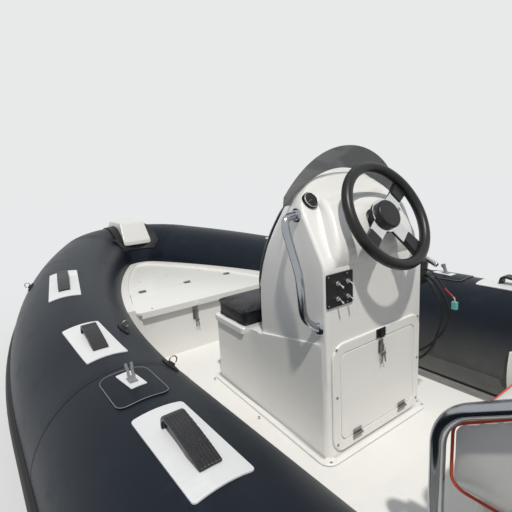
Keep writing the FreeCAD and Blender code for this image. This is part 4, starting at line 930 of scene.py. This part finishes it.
class RIB_OT_upholstery(bpy.types.Operator):
    """Stuffs the cushions and runs piping along their seams"""
    bl_idname = "rib.upholstery"
    bl_label = "Upholstery"

    def execute(self, context):
        front = stuffed("front_seat_cushion", "black_vinyl", "front_seat",
                        lying_held(*FRONT_CUSHION))
        lines = belts(front.data, Vector((0, 0, FRONT_CUSHION[1])), Vector(UP))[:1]
        welt("front_cushion_welt", lines, WELT_RADIUS, "black_vinyl", "front_seat")
        stuffed("backrest", "black_vinyl", "boat", lambda co, normal: normal.x < 0.25, inset=0.002,
                voxel=0.007, pressure=2.0)
        seat = stuffed("helm_cushion", "white_vinyl", "boat", lying_held(*HELM_CUSHION),
                       voxel=0.008)
        lines = belts(seat.data, Vector((0, 0, HELM_CUSHION[1])), Vector(UP))[:1]
        rest = stuffed("helm_backrest", "white_vinyl", "boat", helm_rest_held, voxel=0.008)
        lines += belts(rest.data, Vector((REST_SEAM, 0, 0)), Vector((1, 0, 0)))[:1]
        stuffed("helm_bolsters", "white_vinyl", "boat", bolster_held, gain=BOLSTER_GAIN)
        bolsters = NODES["helm_bolsters"].data.copy()
        lengthened(bolsters, BOLSTER_GAIN)
        for side, _ in SIDES:
            spot = Vector((0, BOLSTER_PIPING * side, 0))
            lines += belts(bolsters, spot, Vector((0, side, 0)))[:1]
        welt("helm_piping", lines, PIPING_RADIUS, "red_piping")
        return {"FINISHED"}


def turned(bm, profile, spot, normal, steps=20):
    """Adds a lathe-turned form: pairs of radius and height, spun round the normal at a spot."""
    before = set(bm.verts)
    verts = [bm.verts.new((radius, 0, height)) for radius, height in profile]
    edges = [bm.edges.new(pair) for pair in zip(verts, verts[1:])]
    bmesh.ops.spin(bm, geom=verts + edges, cent=(0, 0, 0), axis=UP, angle=math.tau, steps=steps,
                   use_merge=True)
    turn = Vector(normal).to_track_quat("Z", "Y").to_matrix().to_4x4()
    bmesh.ops.transform(bm, matrix=Matrix.Translation(spot) @ turn,
                        verts=[v for v in bm.verts if v not in before])


def ring_profile(radius, height, thick, steps):
    """The round section of a ring."""
    angles = [math.tau * i / steps for i in range(steps + 1)]
    return [(radius + thick * math.cos(a), height + thick * math.sin(a)) for a in angles]


def screw_profile(radius):
    """A domed head with a shallow recess."""
    return [(0, 0.0008), (radius * 0.28, 0.0008), (radius * 0.34, 0.0022), (radius * 0.75, 0.0017),
            (radius, 0.0004), (radius, -0.0008), (0, -0.0008)]


def slab(bm, middle, size, turn, soft):
    """Adds a small block, turned about the boat's length, with its edges eased."""
    place = Matrix.Translation(middle) @ Matrix.Rotation(turn, 4, "X") @ Matrix.Diagonal((*size, 1))
    made = bmesh.ops.create_cube(bm, size=1, matrix=place)
    edges = list(dict.fromkeys(e for v in made["verts"] for e in v.link_edges))
    bmesh.ops.bevel(bm, geom=edges, offset=soft, segments=2, profile=0.5, affect="EDGES",
                    material=-1)


# Screws from the console's aft face, its middle and the floor: head's radius, way it faces, places
CONSOLE_SCREWS = (
    (0.0045, AFT, [(-0.0082, y, z) for y in (0.203, -0.203) for z in (0.358, 0.205, 0.048)]),
    (0.0048, UP, [(x, y * side, 0.0082) for x, y in ((-0.012, 0.238), (0.32, 0.262), (0.68, 0.235))
                  for side in (1, -1)]),
    (0.0028, AFT, [(-0.0046, y, z) for y in (0.150, 0.226) for z in (0.494, 0.578)]),
)
LOCKER_SCREWS = ((3.069, 0.207), (3.069, -0.207), (3.096, 0.02))
LID_SCREWS = ((2.509, 0.352), (2.509, -0.352))
LOCKER_SCREW_RADIUS = 0.0045

# Key rings: name, where the ring hangs, body
KEYS = (
    ("door_keys", at_console(-0.0185, 0.000, 0.300), "door"),
    ("locker_keys", Vector((2.482, 0.130, 0.318)), "boat"),
)
# Each key's lean, and how far it hangs below the ring and to its side
KEY_PLACES = ((0.12, -0.016, 0.002), (-0.22, -0.014, -0.004))
KEY_HEAD = (0.0018, 0.016, 0.014)
KEY_BLADE = (0.0016, 0.006, 0.024)
# A ring's radius, height, half thickness and steps round its section
KEY_RING = (0.0085, 0, 0.0008, 8)
GAUGE_RING = (0.0228, 0.0090, 0.0013, 10)

GAUGE_PLACE = at_console(0.1082, 0.182, 0.784)
GAUGE_LEAN = math.radians(31)
GAUGE_FACE = 0.0064
# Marks on the dial: how many, and in degrees the first one, the step clockwise and the hand
GAUGE_MARKS = 11
GAUGE_FIRST = 225
GAUGE_STEP = 27
GAUGE_HAND_AT = 200
GAUGE_MARK = (0.0042, 0.0009, 0.0006)
GAUGE_MARK_RADIUS = 0.0172
GAUGE_HAND = (0.018, 0.0012, 0.0006)


class RIB_OT_fittings(bpy.types.Operator):
    """Adds screws, keys and the instrument's face"""
    bl_idname = "rib.fittings"
    bl_label = "Fittings"

    def execute(self, context):
        bm = bmesh.new()
        for radius, facing, places in CONSOLE_SCREWS:
            for place in places:
                turned(bm, screw_profile(radius), at_console(*place), facing)
        for x, y in LOCKER_SCREWS:
            turned(bm, screw_profile(LOCKER_SCREW_RADIUS), (x, y, LOCKER_TOP), UP)
        piece_from(bm, "screws", "stainless")
        bm = bmesh.new()
        for x, y in LID_SCREWS:
            turned(bm, screw_profile(LOCKER_SCREW_RADIUS), (x, y, LOCKER_TOP), UP)
        piece_from(bm, "lid_screws", "stainless", "locker_cover")
        for name, spot, body in KEYS:
            self.keys(name, spot, body)
        self.instrument()
        return {"FINISHED"}

    def keys(self, name, spot, body):
        """Two keys on a ring."""
        bm = bmesh.new()
        turned(bm, ring_profile(*KEY_RING), spot + Vector((-0.001, 0, 0.006)), (0.2, 1, 0.1), 24)
        for lean, drop, across in KEY_PLACES:
            slab(bm, spot + Vector((across * 0.3, across, drop)), KEY_HEAD, lean, 0.0006)
            slab(bm, spot + Vector((across * 0.3, across + lean * 0.02, drop - 0.018)), KEY_BLADE,
                 lean, 0.0004)
        piece_from(bm, name, "stainless", body)

    def instrument(self):
        """A dial with marks, a pointer and a bright ring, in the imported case."""
        out = Vector((-math.cos(GAUGE_LEAN), 0, math.sin(GAUGE_LEAN)))
        rise = Vector((math.sin(GAUGE_LEAN), 0, math.cos(GAUGE_LEAN)))
        turn = Matrix((Vector((0, -1, 0)), rise, out)).transposed().to_4x4()
        place = Matrix.Translation(GAUGE_PLACE + out * GAUGE_FACE) @ turn
        bm = bmesh.new()
        for number in range(GAUGE_MARKS):
            angle = math.radians(GAUGE_FIRST - GAUGE_STEP * number)
            spot = place @ Vector((GAUGE_MARK_RADIUS * math.cos(angle),
                                   GAUGE_MARK_RADIUS * math.sin(angle), 0))
            mark = Matrix.Translation(spot) @ turn @ Matrix.Rotation(angle, 4, "Z")
            bmesh.ops.create_cube(bm, size=1, matrix=mark @ Matrix.Diagonal((*GAUGE_MARK, 1)))
        hand = (place @ Matrix.Rotation(math.radians(GAUGE_HAND_AT), 4, "Z")
                @ Matrix.Translation((0.006, 0, 0.0008)))
        bmesh.ops.create_cube(bm, size=1, matrix=hand @ Matrix.Diagonal((*GAUGE_HAND, 1)))
        piece_from(bm, "gauge_marks", "grey_plastic")
        bm = bmesh.new()
        turned(bm, ring_profile(*GAUGE_RING), GAUGE_PLACE, out, 48)
        piece_from(bm, "gauge_ring", "bright_chrome")


# The port rail from its upper foot, from the console's aft face, its middle and the floor
RAIL = (
    (0.121, 0.2215, 0.745), (0.121, 0.240, 0.745), (0.1195, 0.266, 0.742), (0.113, 0.278, 0.722),
    (0.088, 0.279, 0.660), (0.062, 0.279, 0.596), (0.054, 0.279, 0.560), (0.050, 0.279, 0.515),
    (0.0485, 0.277, 0.470), (0.045, 0.266, 0.446), (0.038, 0.246, 0.428), (0.033, 0.2285, 0.419))
RAIL_RADIUS = 0.012
RAIL_FEET = ((0.121, 0.2262, 0.7448), (0.0335, 0.2330, 0.4195))
ROSETTE = ((0, 0.006), (0.0125, 0.006), (0.018, 0.0045), (0.0215, 0.001), (0.0215, -0.001),
           (0, -0.001))


class RIB_OT_rails(bpy.types.Operator):
    """Bends the console's grab rails with their foot rosettes"""
    bl_idname = "rib.rails"
    bl_label = "Grab rails"

    def execute(self, context):
        bm = bmesh.new()
        for side, name in SIDES:
            node = name + "_grab_rail"
            rail = make_cord(node + "_tube", [at_console(x, y * side, z) for x, y, z in RAIL],
                             RAIL_RADIUS, "polished_tube")
            rail.data.bevel_resolution = 8
            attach(rail, "boat")
            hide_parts(node)
            for x, y, z in RAIL_FEET:
                turned(bm, ROSETTE, at_console(x, y * side, z), (0, side, 0), 32)
        piece_from(bm, "rail_rosettes", "polished_tube")
        return {"FINISHED"}


# Where the port side chamber is joined to the bow chamber, and the chamber's heading there
JOINT = (3.670, 0.322, 0.43)
HEADING = (0.880, -0.469, 0.0739)
# Tapes: their middles aft and forward of the joint, and each kind's width and thickness
TAPE_AFT = 0.030
TAPE_FORWARD = 0.028
JOINT_TAPE = (0.05, 0.0007)
BOW_TAPE = (0.045, 0.0007)
RING_TAPE = (0.03, 0.0006)
RING_TAPES_AT = (0.62, 1.76)
GLUE_LINE_RADIUS = 0.0009
# The port foot flap's section across the boat, from the deck trim up the chamber's flank
FLAP_SECTION = (
    (0.4790, 0.1504), (0.4790, 0.1560), (0.4850, 0.1660), (0.4895, 0.1820), (0.4925, 0.2020),
    (0.4960, 0.2240), (0.5080, 0.2240), (0.5120, 0.1504))
FLAP_START = -0.10
FLAP_LENGTH = 1.88
FLAP_FOLD = math.radians(50)
BEAD_PLACE = (0.4822, 0.1580)
BEAD_RADIUS = 0.0042


class RIB_OT_seams(bpy.types.Operator):
    """Adds the chambers' glued tapes and foot flaps, and the glue line round the dark patches"""
    bl_idname = "rib.seams"
    bl_label = "Seams"

    def execute(self, context):
        bow_spots = []
        for side, name in SIDES:
            heading = Vector((HEADING[0], HEADING[1] * side, HEADING[2]))
            joint = Vector((JOINT[0], JOINT[1] * side, JOINT[2]))
            tape(name + "_joint_tape", name + "_chamber", [(joint - heading * TAPE_AFT, heading)],
                 *JOINT_TAPE)
            across = side * (JOINT[1] + HEADING[1] * TAPE_FORWARD)
            bow_spots.append((Vector((JOINT[0] + HEADING[0] * TAPE_FORWARD, across, JOINT[2])),
                              heading))
        tape("bow_joint_tapes", "bow_chamber", bow_spots, *BOW_TAPE)
        for side, name in SIDES:
            spots = [(Vector((x, 0.7 * side, 0.4)), Vector((1, 0, 0))) for x in RING_TAPES_AT]
            tape(name + "_ring_tapes", name + "_chamber", spots, *RING_TAPE)
        self.foot_flaps()
        welt("patch_glue_line", rims(NODES["navy_patches"].data), GLUE_LINE_RADIUS,
             "grey_plastic", step=0.01)
        return {"FINISHED"}

    def foot_flaps(self):
        """Closes each chamber's foot down to the deck trim with a flap, and a bead along it."""
        bm = bmesh.new()
        for side, _ in SIDES:
            face = bm.faces.new([bm.verts.new((FLAP_START, y * side, z)) for y, z in FLAP_SECTION])
            made = bmesh.ops.extrude_face_region(bm, geom=[face], use_keep_orig=True)["geom"]
            bmesh.ops.translate(bm, vec=(FLAP_LENGTH, 0, 0),
                                verts=[v for v in made if isinstance(v, bmesh.types.BMVert)])
        piece_from(bm, "chamber_foot_flaps", "chamber_fabric", angle=FLAP_FOLD)
        bm = bmesh.new()
        for side, _ in SIDES:
            middle = (FLAP_START + FLAP_LENGTH / 2, BEAD_PLACE[0] * side, BEAD_PLACE[1])
            place = Matrix.Translation(middle) @ Matrix.Rotation(math.pi / 2, 4, "Y")
            bmesh.ops.create_cone(bm, segments=12, radius1=BEAD_RADIUS, radius2=BEAD_RADIUS,
                                  depth=FLAP_LENGTH, cap_ends=True, matrix=place)
        piece_from(bm, "foot_beads", "black_rubber")


class RIB_OT_finishes(bpy.types.Operator):
    """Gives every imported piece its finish"""
    bl_idname = "rib.finishes"
    bl_label = "Finishes"

    def execute(self, context):
        slots = {entry["node"]: entry["material_slot"] for entry in frame["record"]["subparts"]}
        for name, node in NODES.items():
            key = "deck_gelcoat" if name in ("deck", "aft_floor") else slots[name]
            node.data.materials.clear()
            node.data.materials.append(Palette.get(key))
        return {"FINISHED"}


OPERATORS = [RIB_OT_stage, RIB_OT_cables, RIB_OT_rails, RIB_OT_mouldings, RIB_OT_upholstery,
             RIB_OT_seams, RIB_OT_fittings, RIB_OT_finishes]


class RIB_PT_panel(bpy.types.Panel):
    """Lists the boat's pieces and settings"""
    bl_label = "Rib Boat"
    bl_idname = "RIB_PT_panel"
    bl_space_type = "VIEW_3D"
    bl_region_type = "UI"
    bl_category = "Rib Boat"

    def draw(self, context):
        layout = self.layout
        for operator in OPERATORS:
            layout.operator(operator.bl_idname)
        for group in (context.scene.rib_finishes, context.scene.rib_stage):
            column = layout.column()
            for name in group.bl_rna.properties.keys():
                if name not in ("rna_type", "name"):
                    column.prop(group, name)


CLASSES = [RibFinishes, RibStage] + OPERATORS + [RIB_PT_panel]


def register():
    for cls in CLASSES:
        bpy.utils.register_class(cls)
    bpy.types.Scene.rib_finishes = PointerProperty(type=RibFinishes)
    bpy.types.Scene.rib_stage = PointerProperty(type=RibStage)


def unregister():
    del bpy.types.Scene.rib_stage
    del bpy.types.Scene.rib_finishes
    for cls in reversed(CLASSES):
        bpy.utils.unregister_class(cls)


def main():
    """Makes every piece."""
    register()
    for operator in OPERATORS:
        section, action = operator.bl_idname.split(".")
        getattr(getattr(bpy.ops, section), action)()


if __name__ == "__main__":
    main()
